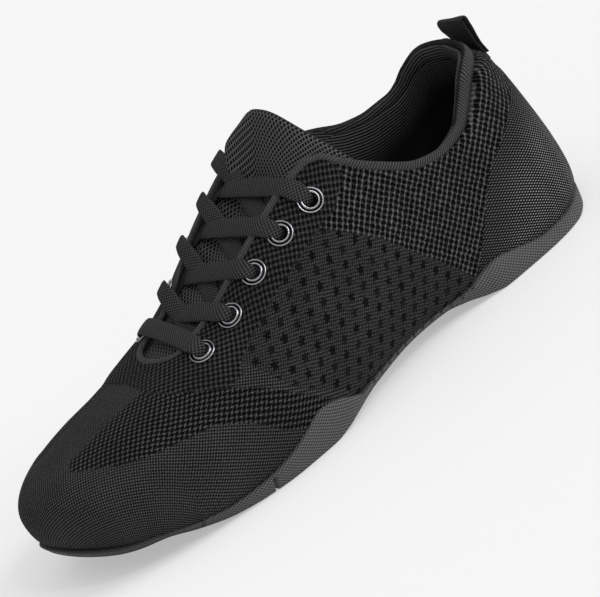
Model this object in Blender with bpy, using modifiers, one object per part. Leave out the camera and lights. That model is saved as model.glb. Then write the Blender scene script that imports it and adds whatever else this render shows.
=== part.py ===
"""A low knit cheer shoe for the left foot, standing empty on its sole.

A hollow knit upper is lasted over a thin split rubber sole and laced over a padded tongue.
The toe points to +X, the outer side of the foot to +Y, and the sole rests on z = 0.
Sizes are in millimetres until a mesh is made.
"""
import math

import bmesh
import bpy
import numpy as np
from mathutils import Matrix, Vector

MM = 0.001
MERGE = 0.02  # points nearer than this are one
GAP = 0.3  # clearance between pieces that meet
PLACE = (1.7, -0.25, 0.0)  # brings the middle of the shoe's box over the origin

OUTLINE = (
    # x, y of the widest line, from the toe tip along the outer side to the heel and back
    (124.8, -7.5), (118, 13.5), (98, 31), (68, 40.4), (36, 44.6), (0, 41.7), (-40, 36.4),
    (-75, 34), (-105, 30.4), (-122.8, 16.6), (-128.1, 0), (-122.8, -16.4), (-105, -29),
    (-75, -30.4), (-40, -28.2), (0, -32.7), (36, -41.5), (62, -44.8), (90, -41.4),
    (112, -30.8), (122.4, -18.9),
)

# Sections of the last. The feather edge is its lowest line, the ridge its highest.
SECTIONS = (
    # x, ridge y, tuck under, feather z, widest z, roof z, side power, crown power
    (-128.9, 0, 3.0, 3.0, 13, 118, 1.25, 1.43),
    (-112, 0, 2.4, 3.3, 17, 118, 1.8, 1.65),
    (-95, 0, 1.8, 3.6, 21, 115, 2.7, 2.0),
    (-60, 0, 3.0, 5.2, 24, 112.3, 2.8, 2.0),
    (-40, -0.8, 4.5, 8.4, 26, 104, 2.5, 2.0),
    (-20, -2.0, 5.0, 9.6, 27, 93.1, 2.1, 1.9),
    (10, -4.0, 4.8, 8.0, 24, 74.5, 1.9, 1.9),
    (40, -4.7, 4.0, 4.6, 20, 54.9, 2.0, 2.0),
    (70, -5.7, 4.0, 4.4, 18, 47.3, 2.5, 2.1),
    (100, -6.7, 3.5, 9.4, 22.4, 44.8, 2.5, 2.2),
    (127, -6.7, 3.0, 19.4, 27.4, 44.3, 2.5, 2.2),
)
INNER_FULLNESS = (
    # x, how much fuller the inner side is
    (-60, 1.0), (-35, 1.12), (-15, 1.5), (20, 1.75), (48, 1.45), (72, 1.06), (112, 1.0),
)
HEEL_POLE = -95  # ribs fan out round the heel and the toe from these places on the ridge
TOE_POLE = 85

# Edge of the upper: half width of the throat, then height of the collar
THROAT_BASE = 58
THROAT_ROUND = 8
THROAT_TOP = -27
THROAT = (
    # x, half width
    (-30, 28), (-27, 26.8), (-21, 24.4), (-13, 23.3), (13, 21), (26, 18.7), (39, 16.4), (58, 14.5),
)
COLLAR = (
    # x, outer z, inner z
    (-128.9, 69, 69.5), (-112, 70.5, 71.5), (-105, 70.3, 67.6), (-99, 68.5, 63.4), (-90, 61.8, 61),
    (-81, 56, 61), (-69, 54.4, 63.4), (-56, 57, 69.4), (-41, 66, 75.6), (-30, 75.5, 79.8), (-27, 79.5, 81.5),
)
WALL = 1.8          # knit and lining
PADDED_WALL = 7.2   # at the top of the heel collar
PAD_DEPTH = 26      # how far down from the collar the padding fades out
PAD_FULL_X = -100   # behind here the padding is full
PAD_END_X = -55     # ahead of here there is none

# Rubber sole: its underside, the top of its side wall, and how far both stand out from the widest line
SOLE = (
    # x, bottom z, wall top z, bottom stand-out, top stand-out
    (-128.9, 0.8, 5.0, -2.2, -0.9),
    (-124, 0.5, 5.0, -2.0, -1.1),
    (-118, 0.2, 5.0, -0.6, -0.7),
    (-112, 0.1, 5.0, 0.9, -0.1),
    (-105, 0, 4.9, 2.3, 0.5),
    (-90, 0, 5.2, 2.7, 0.6),
    (-73, 0, 9.3, 2.3, 0.9),
    (-64, 0, 11.4, 1.6, 1.2),
    (-56, 1.4, 10.6, -0.4, 1.0),
    (-47, 4.1, 9.4, -2.8, -1.0),
    (-38, 5.5, 9.2, -6.0, -3.0),
    (-20, 6.2, 10.4, -7.0, -3.6),
    (2, 4.9, 9.6, -5.8, -2.8),
    (10, 4.0, 9.4, -4.6, -1.7),
    (16, 2.9, 11.3, -3.5, -0.3),
    (24, 1.0, 14.8, -3.0, 0.4),
    (31, 0, 15.6, -3.0, 0.7),
    (41, 0, 12.0, -2.8, 0.7),
    (50, 0, 8.8, -2.4, 0.4),
    (62, 0.2, 6.4, -2.8, -0.4),
    (73, 1.1, 5.8, -3.4, -1.3),
    (87, 4.5, 7.8, -3.7, -1.5),
    (97, 7.8, 10.4, -3.3, -1.3),
    (102, 8.6, 11.6, -2.7, -0.9),
    (105, 8.9, 12.2, -2.3, -0.7),
    (110, 9.7, 13.2, -2.2, -0.6),
    (119, 12.6, 16.4, -2.7, -0.8),
    (127, 16.8, 20.0, -3.0, -1.0),
)
SOLE_EDGE_ROUND = 0.8
SOLE_EDGE_MIN = 1.6  # least height of the outer wall
LIP_DROP = 0.4       # the lip slopes down outward
LIP_MIN = 0.6
SLIT_X = 58          # flex slit across the forefoot
SLIT_WIDTH = 1.2
SLIT_DEPTH = 1.8     # in the tread
SLIT_WALL_TOP = 5.6  # in the side wall
SLIT_WALL_DEEP = 3.4

INSOLE_THICKNESS = 3.5
INSOLE_ROUND = 1.0

# Tongue
TONGUE_BASE = 66
TONGUE_TIP = -29
TONGUE_SWEEP = 9     # how far the tip's corners lie behind its middle
TONGUE_DROP = 3.6    # its outer face below the last's surface
TONGUE_RISE = 5.1    # how far the free tip lifts in its middle
TONGUE_FREE = -20     # where the tip comes free of the lace
TONGUE_PAD = 5.0
TONGUE_EDGE = 2.0
TONGUE_CLEAR = 0.6   # under the lace
TONGUE_SAG = (
    # x, depth of the middle under the last, depth at the throat's edges
    (-40, 9.0, 3.6), (-12, 9.0, 3.6), (3, 7.6, 3.6), (18, 4.4, 3.4), (32, 2.0, 3.0), (45, 0.4, 2.4), (66, 0.0, 2.2),
)
TONGUE = (
    # x, half width
    (-40, 31),
    (0, 30),
    (30, 26),
    (66, 17),
)

# Eyelets, counted from the toe up
EYELET_ROWS = 5
EYELET_FIRST_X = 47
EYELET_PITCH_X = 15.2
EYELET_FIRST_OFFSET = 23.5  # from the ridge
EYELET_OFFSET_STEP = 1.5
EYELET_INNER_BACK = 3.0     # the inner row sits further back
EYELET_HOLE_RADIUS = 3.1
EYELET_HOLE_DEPTH = 12  # of the tool that cuts it
EYELET_SEGMENTS = 12
EYELET_PROFILE = (
    # radius, height over the upper's surface
    (2.3, -1.9),
    (2.8, -1.9),
    (2.8, 0.35),
    (4.85, 0.35),
    (4.85, 0.75),
    (3.6, 1.25),
    (2.6, 0.95),
)

# Flat lace
LACE_WIDTH = 7.4
LACE_THICKNESS = 1.6
LACE_LIFT = 1.4         # its middle over the upper's surface
LACE_UNDER = -0.8       # where it dives below the throat's far edge
LACE_SLANT_OVER = (0.0, 6.0, 8.0, 8.0, 8.5)  # toward the toe, by row
LACE_SLANT_UNDER = (0.0, 13.0, 15.0, 15.0, 15.0)
LACE_SWAY_OVER = 0.3    # over the straight line across the throat
LACE_SWAY_UNDER = -0.7
LACE_EYELET_STOP = 5.6
LACE_EDGE_STOP = 2.2
LACE_STATIONS = 11

# Webbing tab at the heel, seen from the side
LOOP_WIDTH = 12.8
LOOP_THICKNESS = 1.3
LOOP_FRONT_SEWN_Z = (62, 64.5, 67)
LOOP_FOLD = (
    # x, z, up the front leg, over the fold and down the back leg
    (-117.9, 70.8),
    (-116.8, 75.2),
    (-115.6, 79.0),
    (-115.8, 81.0),
    (-117.2, 81.2),
    (-118.5, 77.8),
    (-119.6, 72.4),
)
LOOP_BACK_SEWN_Z = (68, 66.4, 64.6)

FAN_RIBS = 11
FOOT_ROWS = (-1.0, -0.8, -0.6, -0.4, -0.2, 0.0)
SIDE_ROWS = 8

MATERIALS = {
    # colour (linear), roughness, metallic
    "black knit": ((0.012, 0.012, 0.013), 0.9, 0.0),
    "dark grey rubber": ((0.045, 0.045, 0.047), 0.7, 0.0),
    "black mesh": ((0.016, 0.016, 0.017), 0.95, 0.0),
    "dark foam": ((0.02, 0.02, 0.021), 0.95, 0.0),
    "black nickel": ((0.06, 0.06, 0.062), 0.3, 1.0),
    "black lace": ((0.022, 0.022, 0.023), 0.85, 0.0),
    "black webbing": ((0.025, 0.025, 0.026), 0.8, 0.0),
}


# Curves

def monotone(table, x):
    """Columns of a table at x: cubic between its rows, with slopes that never swing past a row."""
    rows = np.array(table, float)
    knots, values = rows[:, 0], rows[:, 1:]
    step = np.diff(knots)[:, None]
    slope = np.diff(values, axis=0) / step
    before, after = slope[:-1], slope[1:]
    weight_a = 2 * step[1:] + step[:-1]
    weight_b = step[1:] + 2 * step[:-1]
    same = before * after > 0
    safe_before = np.where(same, before, 1.0)
    safe_after = np.where(same, after, 1.0)
    middle = (weight_a + weight_b) / (weight_a / safe_before + weight_b / safe_after)
    tangent = np.vstack([slope[:1], np.where(same, middle, 0.0), slope[-1:]])
    x = np.clip(x, knots[0], knots[-1])
    i = np.clip(np.searchsorted(knots, x, side="right") - 1, 0, len(knots) - 2)
    width = (knots[i + 1] - knots[i])[..., None]
    t = ((x - knots[i])[..., None]) / width
    return ((1 + 2 * t) * (1 - t) ** 2 * values[i] + t * (1 - t) ** 2 * width * tangent[i]
            + t * t * (3 - 2 * t) * values[i + 1] + t * t * (t - 1) * width * tangent[i + 1])


def closed_spline(points, per_span=60):
    """A closed cubic spline through points, with knots spaced by the root of the chord."""
    p = np.array(points, float)
    following = np.roll(p, -1, axis=0)
    h = np.sqrt(np.linalg.norm(following - p, axis=1))
    h_before = np.roll(h, 1)
    n = len(p)
    i = np.arange(n)
    matrix = np.zeros((n, n))
    matrix[i, i] = 2 * (h + h_before)
    matrix[i, (i - 1) % n] = h
    matrix[i, (i + 1) % n] = h_before
    rise = (following - p) / h[:, None]
    rise_before = np.roll(rise, 1, axis=0)
    tangent = np.linalg.solve(matrix, 3 * (h[:, None] * rise_before + h_before[:, None] * rise))
    t = (np.arange(per_span) / per_span)[None, :, None]
    width = h[:, None, None]
    curve = ((1 + 2 * t) * (1 - t) ** 2 * p[:, None] + t * (1 - t) ** 2 * width * tangent[:, None]
             + t * t * (3 - 2 * t) * following[:, None]
             + t * t * (t - 1) * width * np.roll(tangent, -1, axis=0)[:, None])
    return curve.reshape(-1, 2)


# The last

PLAN = closed_spline(OUTLINE)


def ridge_y(x):
    return monotone(SECTIONS, np.asarray(x, float))[..., 0]


def side_y(x, side):
    """y of the widest line at x, on the outer side (+1) or the inner side (-1)."""
    line = PLAN[side * (PLAN[:, 1] - ridge_y(PLAN[:, 0])) > 0]
    order = np.argsort(line[:, 0])
    return np.interp(x, line[order, 0], line[order, 1])


def reach(x, side):
    """Distance across from the ridge to the widest line, on the outer side (+1) or the inner side (-1)."""
    return np.abs(side_y(x, side) - ridge_y(x))


def on_side(x, offset, side):
    """A distance from the ridge on the outer side, carried to either side as the same share of the width."""
    return side * offset * reach(x, side) / reach(x, 1)


def fan_feet(pole, angles):
    """Points of the widest line seen from a pole of the ridge at these angles."""
    spine = np.array([pole, ridge_y(pole)])
    arm = PLAN - spine
    turn = np.mod(np.arctan2(arm[:, 1], arm[:, 0]), 2 * math.pi)
    distance = np.interp(angles, turn, np.linalg.norm(arm, axis=1), period=2 * math.pi)
    return spine + distance[:, None] * np.column_stack([np.cos(angles), np.sin(angles)])


def last_ribs():
    """Each rib's foot on the widest line and spine point on the ridge, round the shoe from the outer toe."""
    base_round = THROAT_BASE - THROAT_ROUND * np.array([0.02, 0.12, 0.3, 0.6, 1.0])
    body = np.concatenate([
        np.linspace(TOE_POLE, THROAT_BASE, 5),
        base_round,
        np.linspace(THROAT_BASE - THROAT_ROUND, HEEL_POLE, 23)[1:],
    ])
    spine_body = np.column_stack([body, ridge_y(body)])
    outer = np.column_stack([body, side_y(body, 1)])
    inner = np.column_stack([body, side_y(body, -1)])
    turn = np.linspace(-math.pi / 2, math.pi / 2, FAN_RIBS + 2)[1:-1]
    heel = fan_feet(HEEL_POLE, math.pi + turn)
    toe = fan_feet(TOE_POLE, turn)
    foot = np.vstack([outer, heel, inner[::-1], toe])
    spine = np.vstack([
        spine_body,
        np.tile(spine_body[-1], (FAN_RIBS, 1)),
        spine_body[::-1],
        np.tile(spine_body[0], (FAN_RIBS, 1)),
    ])
    return foot, spine


def side_power(x, inner):
    """Power of a rib's superellipse. The inner side of the instep is fuller than the outer side."""
    return monotone(SECTIONS, x)[..., 5] * np.where(inner, monotone(INNER_FULLNESS, x)[..., 0], 1.0)


def last_point(foot, spine, v, grow=0.0):
    """The last moved out by grow: v is -1 at the feather edge, 0 at the widest line and 1 on the ridge."""
    v = np.asarray(v, float)
    foot, spine = np.broadcast_to(foot, v.shape + (2,)), np.broadcast_to(spine, v.shape + (2,))
    arm = foot - spine
    length = np.linalg.norm(arm, axis=-1)
    direction = arm / length[..., None]
    rows = monotone(SECTIONS, foot[..., 0])
    tuck, crown_power = rows[..., 1], rows[..., 6]
    power = side_power(foot[..., 0], foot[..., 1] < spine[..., 1])
    up = np.clip(v, 0, 1) * math.pi / 2
    down = np.clip(v, -1, 0) * math.pi / 2
    along = length * np.cos(up) ** (2 / power) - tuck * (1 - np.cos(down))
    xy = spine + direction * along[..., None]
    heights = monotone(SECTIONS, xy[..., 0])
    feather, widest, roof = heights[..., 2], heights[..., 3], heights[..., 4]
    z = widest + (roof - widest) * np.sin(up) ** (2 / crown_power) + (widest - feather) * np.sin(down)
    out = np.where(v < 0, np.cos(down), np.cos(up) / length)
    rise = np.where(v < 0, np.sin(down), np.sin(up) / (roof - widest))
    scale = grow / np.hypot(out, rise)
    xy = xy + direction * (out * scale)[..., None]
    return np.concatenate([xy, (z + rise * scale)[..., None]], axis=-1)


def instep(x, offset, grow=0.0):
    """The last's surface at x and a distance across from the ridge, moved out by grow."""
    x, offset = np.broadcast_arrays(np.asarray(x, float), np.asarray(offset, float))
    spine = np.stack([x, ridge_y(x)], axis=-1)
    y = np.where(offset > 0, side_y(x, 1), side_y(x, -1))
    foot = np.stack([x, y], axis=-1)
    power = side_power(x, offset < 0)
    share = np.abs(offset) / np.abs(y - spine[..., 1])
    v = np.arccos(np.clip(share, 0, 1) ** (power / 2)) / (math.pi / 2)
    return last_point(foot, spine, v, grow)


def instep_normal(x, offset):
    """Unit normal of the last's surface there, from neighbours half a millimetre away."""
    half = 0.5
    along = instep(x + half, offset) - instep(x - half, offset)
    across = instep(x, offset + half) - instep(x, offset - half)
    normal = np.cross(along, across)
    return normal / np.linalg.norm(normal, axis=-1, keepdims=True)


def edge_height(foot, spine):
    """How far up each rib the upper's wall runs: to the ridge, to the throat's edge or to the collar's."""
    v = np.linspace(0, 1, 801)
    points = last_point(foot[:, None], spine[:, None], np.tile(v, (len(foot), 1)))
    x, y, z = points[..., 0], points[..., 1], points[..., 2]
    across = y - ridge_y(x)
    collar = np.where(across > 0, monotone(COLLAR, x)[..., 0], monotone(COLLAR, x)[..., 1])
    side = np.where(across > 0, 1, -1)
    throat = np.where(across > 0, throat_edge(x, 1), -throat_edge(x, -1))
    past = np.where(x > THROAT_TOP, throat - side * across, z - collar)
    first = np.argmax(past > 0, axis=1)
    rib = np.arange(len(foot))
    low = past[rib, first - 1]
    high = past[rib, first]
    crossing = v[first - 1] + (v[first] - v[first - 1]) * low / (low - high)
    return np.where((past > 0).any(axis=1), crossing, 1.0)


def throat_half(x):
    """Half width of the throat, closed to a round end at its base."""
    into = np.clip((THROAT_BASE - x) / THROAT_ROUND, 0, 1)
    return monotone(THROAT, x)[..., 0] * np.sqrt(1 - (1 - into) ** 2)


def throat_edge(x, side):
    """Where the throat's edge lies across from the ridge."""
    return on_side(x, throat_half(x), side)


# Meshes

def material(name):
    colour, roughness, metallic = MATERIALS[name]
    found = bpy.data.materials.get(name)
    if found:
        return found
    made = bpy.data.materials.new(name)
    made.use_nodes = True
    shader = made.node_tree.nodes["Principled BSDF"]
    shader.inputs["Base Color"].default_value = (*colour, 1.0)
    shader.inputs["Roughness"].default_value = roughness
    shader.inputs["Metallic"].default_value = metallic
    return made


def mesh_object(name, verts, faces, finish, collection):
    """An object from points in millimetres, with points that coincide merged."""
    mesh = bpy.data.meshes.new(name)
    mesh.from_pydata((np.asarray(verts) * MM).tolist(), [], faces)
    bm = bmesh.new()
    bm.from_mesh(mesh)
    bmesh.ops.remove_doubles(bm, verts=bm.verts, dist=MERGE * MM)
    bm.to_mesh(mesh)
    bm.free()
    obj = bpy.data.objects.new(name, mesh)
    collection.objects.link(obj)
    if finish:
        mesh.materials.append(material(finish))
    return obj


def ring_faces(rings, rows):
    """Quads between neighbouring ribs of a closed ring of ribs, each with the same number of rows."""
    faces = []
    for i in range(rings):
        after = (i + 1) % rings
        for j in range(rows - 1):
            faces.append((i * rows + j, after * rows + j, after * rows + j + 1, i * rows + j + 1))
    return faces


def sheet_faces(columns, rows):
    """Quads of an open grid."""
    faces = []
    for i in range(columns - 1):
        for j in range(rows - 1):
            a = i * rows + j
            faces.append((a, a + rows, a + rows + 1, a + 1))
    return faces


def strap_mesh(middle, side, normal, width, thickness):
    """Corners and faces of a flat band along a path, with its side and normal directions at each station."""
    half_side = side * width / 2
    half_normal = normal * thickness / 2
    corners = np.stack([
        middle - half_side - half_normal,
        middle + half_side - half_normal,
        middle + half_side + half_normal,
        middle - half_side + half_normal,
    ], axis=1)
    count = len(middle)
    faces = [(3, 2, 1, 0), tuple(4 * (count - 1) + k for k in range(4))]
    for i in range(count - 1):
        for k in range(4):
            after = (k + 1) % 4
            faces.append((4 * i + k, 4 * i + after, 4 * i + 4 + after, 4 * i + 4 + k))
    return corners.reshape(-1, 3), faces


def solidify(obj, thickness, group=None):
    """Thickness inward from an open surface, scaled by a vertex group."""
    modifier = obj.modifiers.new("wall", "SOLIDIFY")
    modifier.thickness = thickness * MM
    modifier.offset = -1.0
    modifier.use_quality_normals = True
    if group:
        modifier.vertex_group = group


def weight_by(obj, name, share):
    """A vertex group whose weight is a function of the vertex's place in millimetres."""
    group = obj.vertex_groups.new(name=name)
    for vertex in obj.data.vertices:
        place = np.array(vertex.co) / MM
        group.add([vertex.index], float(share(place)), "REPLACE")


def boolean(obj, cutter, operation):
    modifier = obj.modifiers.new(cutter.name, "BOOLEAN")
    modifier.operation = operation
    modifier.object = cutter
    modifier.solver = "EXACT"


def smooth_share(value, low, high):
    t = np.clip((value - low) / (high - low), 0, 1)
    return t * t * (3 - 2 * t)


# Sub-parts

def build_upper(parts, cutters, foot, spine):
    top = edge_height(foot, spine)
    rows = np.concatenate([np.tile(FOOT_ROWS, (len(foot), 1)),
                           top[:, None] * np.linspace(0, 1, SIDE_ROWS + 1)[1:]], axis=1)
    points = last_point(foot[:, None], spine[:, None], rows)
    upper = mesh_object("upper", points.reshape(-1, 3), ring_faces(*rows.shape), "black knit", parts)

    def wall_share(place):
        side = 0 if place[1] > ridge_y(place[0]) else 1
        below = monotone(COLLAR, place[0])[..., side] - place[2]
        depth = 1 - smooth_share(below, 0.0, PAD_DEPTH)
        back = 1 - smooth_share(place[0], PAD_FULL_X, PAD_END_X)
        return (WALL + (PADDED_WALL - WALL) * depth * back) / PADDED_WALL

    weight_by(upper, "wall share", wall_share)
    solidify(upper, PADDED_WALL, "wall share")
    boolean(upper, build_eyelet_cutter(cutters), "DIFFERENCE")
    return upper


def build_sole(parts, cutters, foot, spine):
    """Closed profiles along the ribs: tread, outer wall, lip, inner wall beside the upper, floor."""
    arm = foot - spine
    reach = np.linalg.norm(arm, axis=1)
    direction = arm / reach[:, None]
    rows = monotone(SOLE, foot[:, 0])
    wall_top, stand_bottom, stand_top = rows[:, 1], rows[:, 2], rows[:, 3]
    section = monotone(SECTIONS, foot[:, 0])
    feather, widest = section[:, 2], section[:, 3]
    sunk = np.clip((widest - wall_top) / (widest - feather), 0, 1)
    wall_v = -np.arcsin(sunk) / (math.pi / 2)
    inner_v = np.minimum(wall_v[:, None], np.array(FOOT_ROWS[::-1]))
    inner = last_point(foot[:, None], spine[:, None], inner_v, GAP)
    lip_inner = ((inner[:, 0, :2] - spine) * direction).sum(axis=1) - reach
    lip_outer = np.maximum(stand_top, lip_inner + LIP_MIN)

    def at(stand, z=None, share=1.0):
        xy = spine + direction * ((reach + stand) * share)[:, None]
        if z is None:
            z = monotone(SOLE, xy[:, 0])[:, 0]
        return np.column_stack([xy, z])

    edge = at(stand_bottom)
    edge_z = edge[:, 2]
    rounded = at(stand_bottom + SOLE_EDGE_ROUND, edge_z + SOLE_EDGE_ROUND)
    lip_z = inner[:, 0, 2]
    lip = at(lip_outer, np.maximum(lip_z - LIP_DROP, edge_z + SOLE_EDGE_MIN))
    floor = np.column_stack([spine, monotone(SECTIONS, spine[:, 0])[:, 2] - GAP])
    profile = [at(stand_bottom, share=0.0), edge, rounded, lip]
    profile += [inner[:, k] for k in range(inner.shape[1])]
    profile += [floor]
    points = np.stack(profile, axis=1)
    faces = ring_faces(*points.shape[:2])
    sole = mesh_object("outsole", points.reshape(-1, 3), faces, "dark grey rubber", parts)
    boolean(sole, build_slit_cutter(cutters), "DIFFERENCE")
    return sole


def build_slit_cutter(cutters):
    """A narrow bar across the forefoot's tread, with a taller end through each side wall."""
    beyond = 4.0
    below = -2.0
    outer, inner = float(side_y(SLIT_X, 1)), float(side_y(SLIT_X, -1))
    section = [
        # y, z
        (inner - beyond, below),
        (outer + beyond, below),
        (outer + beyond, SLIT_WALL_TOP),
        (outer - SLIT_WALL_DEEP, SLIT_WALL_TOP),
        (outer - SLIT_WALL_DEEP, SLIT_DEPTH),
        (inner + SLIT_WALL_DEEP, SLIT_DEPTH),
        (inner + SLIT_WALL_DEEP, SLIT_WALL_TOP),
        (inner - beyond, SLIT_WALL_TOP),
    ]
    bm = bmesh.new()
    start = (SLIT_X - SLIT_WIDTH / 2) * MM
    outline = bm.faces.new([bm.verts.new((start, y * MM, z * MM)) for y, z in section])
    grown = bmesh.ops.extrude_face_region(bm, geom=[outline])
    moved = [item for item in grown["geom"] if isinstance(item, bmesh.types.BMVert)]
    bmesh.ops.translate(bm, verts=moved, vec=(SLIT_WIDTH * MM, 0, 0))
    bmesh.ops.recalc_face_normals(bm, faces=bm.faces)
    return cutter_object("flex slit", bm, cutters)


def build_insole(parts, foot, spine):
    arm = foot - spine
    reach = np.linalg.norm(arm, axis=1)
    direction = arm / reach[:, None]
    edge = reach - monotone(SECTIONS, foot[:, 0])[:, 1] - WALL - 2 * GAP

    def at(distance, over):
        xy = spine + direction * distance[:, None]
        return np.column_stack([xy, monotone(SECTIONS, xy[:, 0])[:, 2] + over])

    points = np.stack([
        at(0 * edge, 0.0),
        at(edge, 0.0),
        at(edge, INSOLE_THICKNESS - INSOLE_ROUND),
        at(edge - INSOLE_ROUND, INSOLE_THICKNESS),
        at(0 * edge, INSOLE_THICKNESS),
    ], axis=1)
    return mesh_object("insole", points.reshape(-1, 3), ring_faces(*points.shape[:2]), "dark foam", parts)


def build_tongue(parts):
    """A padded sheet under the throat's edges, thinner along its rim, that sinks under the lace and rises
    at its free end."""
    along = np.linspace(0, 1, 26)[:, None]
    across = np.linspace(1, -1, 19)[None]
    tip = TONGUE_TIP - TONGUE_SWEEP * across ** 4
    x = TONGUE_BASE + (tip - TONGUE_BASE) * along
    half = monotone(TONGUE, x)[..., 0] * np.abs(across)
    offset = np.where(across > 0, on_side(x, half, 1), on_side(x, half, -1))
    room = throat_half(x)
    sag = monotone(TONGUE_SAG, x)[..., 0] * (1 - np.clip(half / np.maximum(room, 1.0), 0, 1) ** 2)
    drop = monotone(TONGUE_SAG, x)[..., 1] + TONGUE_CLEAR
    free = smooth_share(-x, -TONGUE_FREE, -TONGUE_TIP)
    hump = (1 - across ** 2) * (1 - 0.4 * across)
    within = smooth_share(room - half, -2.0, 3.0)
    lifted = -(drop + sag) * (1 - free) + (TONGUE_RISE * hump - TONGUE_DROP) * free
    lifted = lifted * within - TONGUE_DROP * (1 - within)
    points = instep(x, offset, lifted)
    tongue = mesh_object("tongue", points.reshape(-1, 3), sheet_faces(*x.shape), "black mesh", parts)
    rim = TONGUE_EDGE / TONGUE_PAD
    group = tongue.vertex_groups.new(name="pad share")
    inside = np.minimum(1 - np.abs(across), np.minimum(along, 1 - along) * 2) + 0 * x
    share = rim + (1 - rim) * smooth_share(inside, 0.0, 0.35)
    for index, value in enumerate(share.ravel()):
        group.add([index], float(value), "REPLACE")
    solidify(tongue, TONGUE_PAD, "pad share")
    return tongue


def eyelet_place(row, side):
    """Place along the foot and across from the ridge of an eyelet."""
    x = EYELET_FIRST_X - EYELET_PITCH_X * row - (EYELET_INNER_BACK if side < 0 else 0.0)
    return x, on_side(x, EYELET_FIRST_OFFSET + EYELET_OFFSET_STEP * row, side)


def eyelet_places():
    """Name and place of every eyelet."""
    for row in range(EYELET_ROWS):
        yield f"eyelet_outer_{row + 1}", *eyelet_place(row, 1)
        yield f"eyelet_inner_{row + 1}", *eyelet_place(row, -1)


def eyelet_matrix(x, offset):
    """Stands a piece on the upper's surface, its axis along the surface's normal."""
    turn = Vector(instep_normal(x, offset)).to_track_quat("Z", "Y")
    return Matrix.Translation(Vector(instep(x, offset)) * MM) @ turn.to_matrix().to_4x4()


def build_eyelets(parts):
    for name, x, offset in eyelet_places():
        turns = np.linspace(0, 2 * math.pi, EYELET_SEGMENTS, endpoint=False)
        radius, height = np.array(EYELET_PROFILE).T
        points = np.stack([
            np.outer(np.cos(turns), radius),
            np.outer(np.sin(turns), radius),
            np.tile(height, (EYELET_SEGMENTS, 1)),
        ], axis=-1)
        closed = np.concatenate([points, points[:, :1]], axis=1)
        faces = ring_faces(*closed.shape[:2])
        eyelet = mesh_object(name, closed.reshape(-1, 3), faces, "black nickel", parts)
        eyelet.matrix_basis = eyelet_matrix(x, offset)


def build_eyelet_cutter(cutters):
    bm = bmesh.new()
    for name, x, offset in eyelet_places():
        bmesh.ops.create_cone(bm, cap_ends=True, segments=EYELET_SEGMENTS, depth=EYELET_HOLE_DEPTH * MM,
                              radius1=EYELET_HOLE_RADIUS * MM, radius2=EYELET_HOLE_RADIUS * MM,
                              matrix=eyelet_matrix(x, offset))
    return cutter_object("eyelet holes", bm, cutters)


def cutter_object(name, bm, cutters):
    mesh = bpy.data.meshes.new(name)
    bm.to_mesh(mesh)
    bm.free()
    obj = bpy.data.objects.new(name, mesh)
    cutters.objects.link(obj)
    obj.hide_render = True
    obj.display_type = "WIRE"
    return obj


def lace_band(middle, normal):
    """A flat band along points, its face turned to their normals."""
    tangent = np.gradient(middle, axis=0)
    side = np.cross(normal, tangent)
    side /= np.linalg.norm(side, axis=1, keepdims=True)
    face = np.cross(tangent, side)
    face /= np.linalg.norm(face, axis=1, keepdims=True)
    return strap_mesh(middle, side, face, LACE_WIDTH, LACE_THICKNESS)


def lace_crossing(row, side, over):
    """From beside an eyelet over the near edge of the throat, then straight to just under the far edge."""
    x, offset = eyelet_place(row, side)
    slant = (LACE_SLANT_OVER if over else LACE_SLANT_UNDER)[row]
    near_x = x + slant * (0.3 if over else 0.06)
    near = throat_edge(np.array(near_x), side) - side * LACE_EDGE_STOP
    far = throat_edge(np.array(x + slant), -side) + side * LACE_EDGE_STOP
    begin = LACE_EYELET_STOP / abs(offset - near)
    share = np.array([begin, (begin + 1) / 2, 1])
    along = np.append(x + (near_x - x) * share, x + slant)
    across = np.append(offset + (near - offset) * share, far)
    normal = instep_normal(along, across)
    points = instep(along, across) + normal * np.array([LACE_LIFT, LACE_LIFT, LACE_LIFT, LACE_UNDER])[:, None]
    t = np.linspace(0, 1, LACE_STATIONS)[1:, None]
    upward = normal[2] + normal[3]
    upward /= np.linalg.norm(upward)
    sway = (LACE_SWAY_OVER if over else LACE_SWAY_UNDER) * np.sin(math.pi * t)
    bridge = points[2] + (points[3] - points[2]) * t + sway * upward
    facing = normal[2] + (normal[3] - normal[2]) * t
    return lace_band(np.vstack([points[:3], bridge]), np.vstack([normal[:3], facing]))


def build_lace(parts, cutters):
    outer_x, outer = eyelet_place(0, 1)
    inner_x, inner = eyelet_place(0, -1)
    t = np.linspace(0, 1, LACE_STATIONS)
    along = outer_x + (inner_x - outer_x) * t
    across = outer - LACE_EYELET_STOP + (inner - outer + 2 * LACE_EYELET_STOP) * t
    normal = instep_normal(along, across)
    bar = lace_band(instep(along, across) + normal * LACE_LIFT, normal)
    mesh_object("lace_bar_1", *bar, "black lace", parts)
    for row in range(1, EYELET_ROWS):
        crossing = mesh_object(f"lace_cross_{row + 1}", *lace_crossing(row, 1, True), "black lace", parts)
        joined = mesh_object(f"lace under {row + 1}", *lace_crossing(row, -1, False), None, cutters)
        joined.hide_render = True
        joined.display_type = "WIRE"
        boolean(crossing, joined, "UNION")


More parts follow.
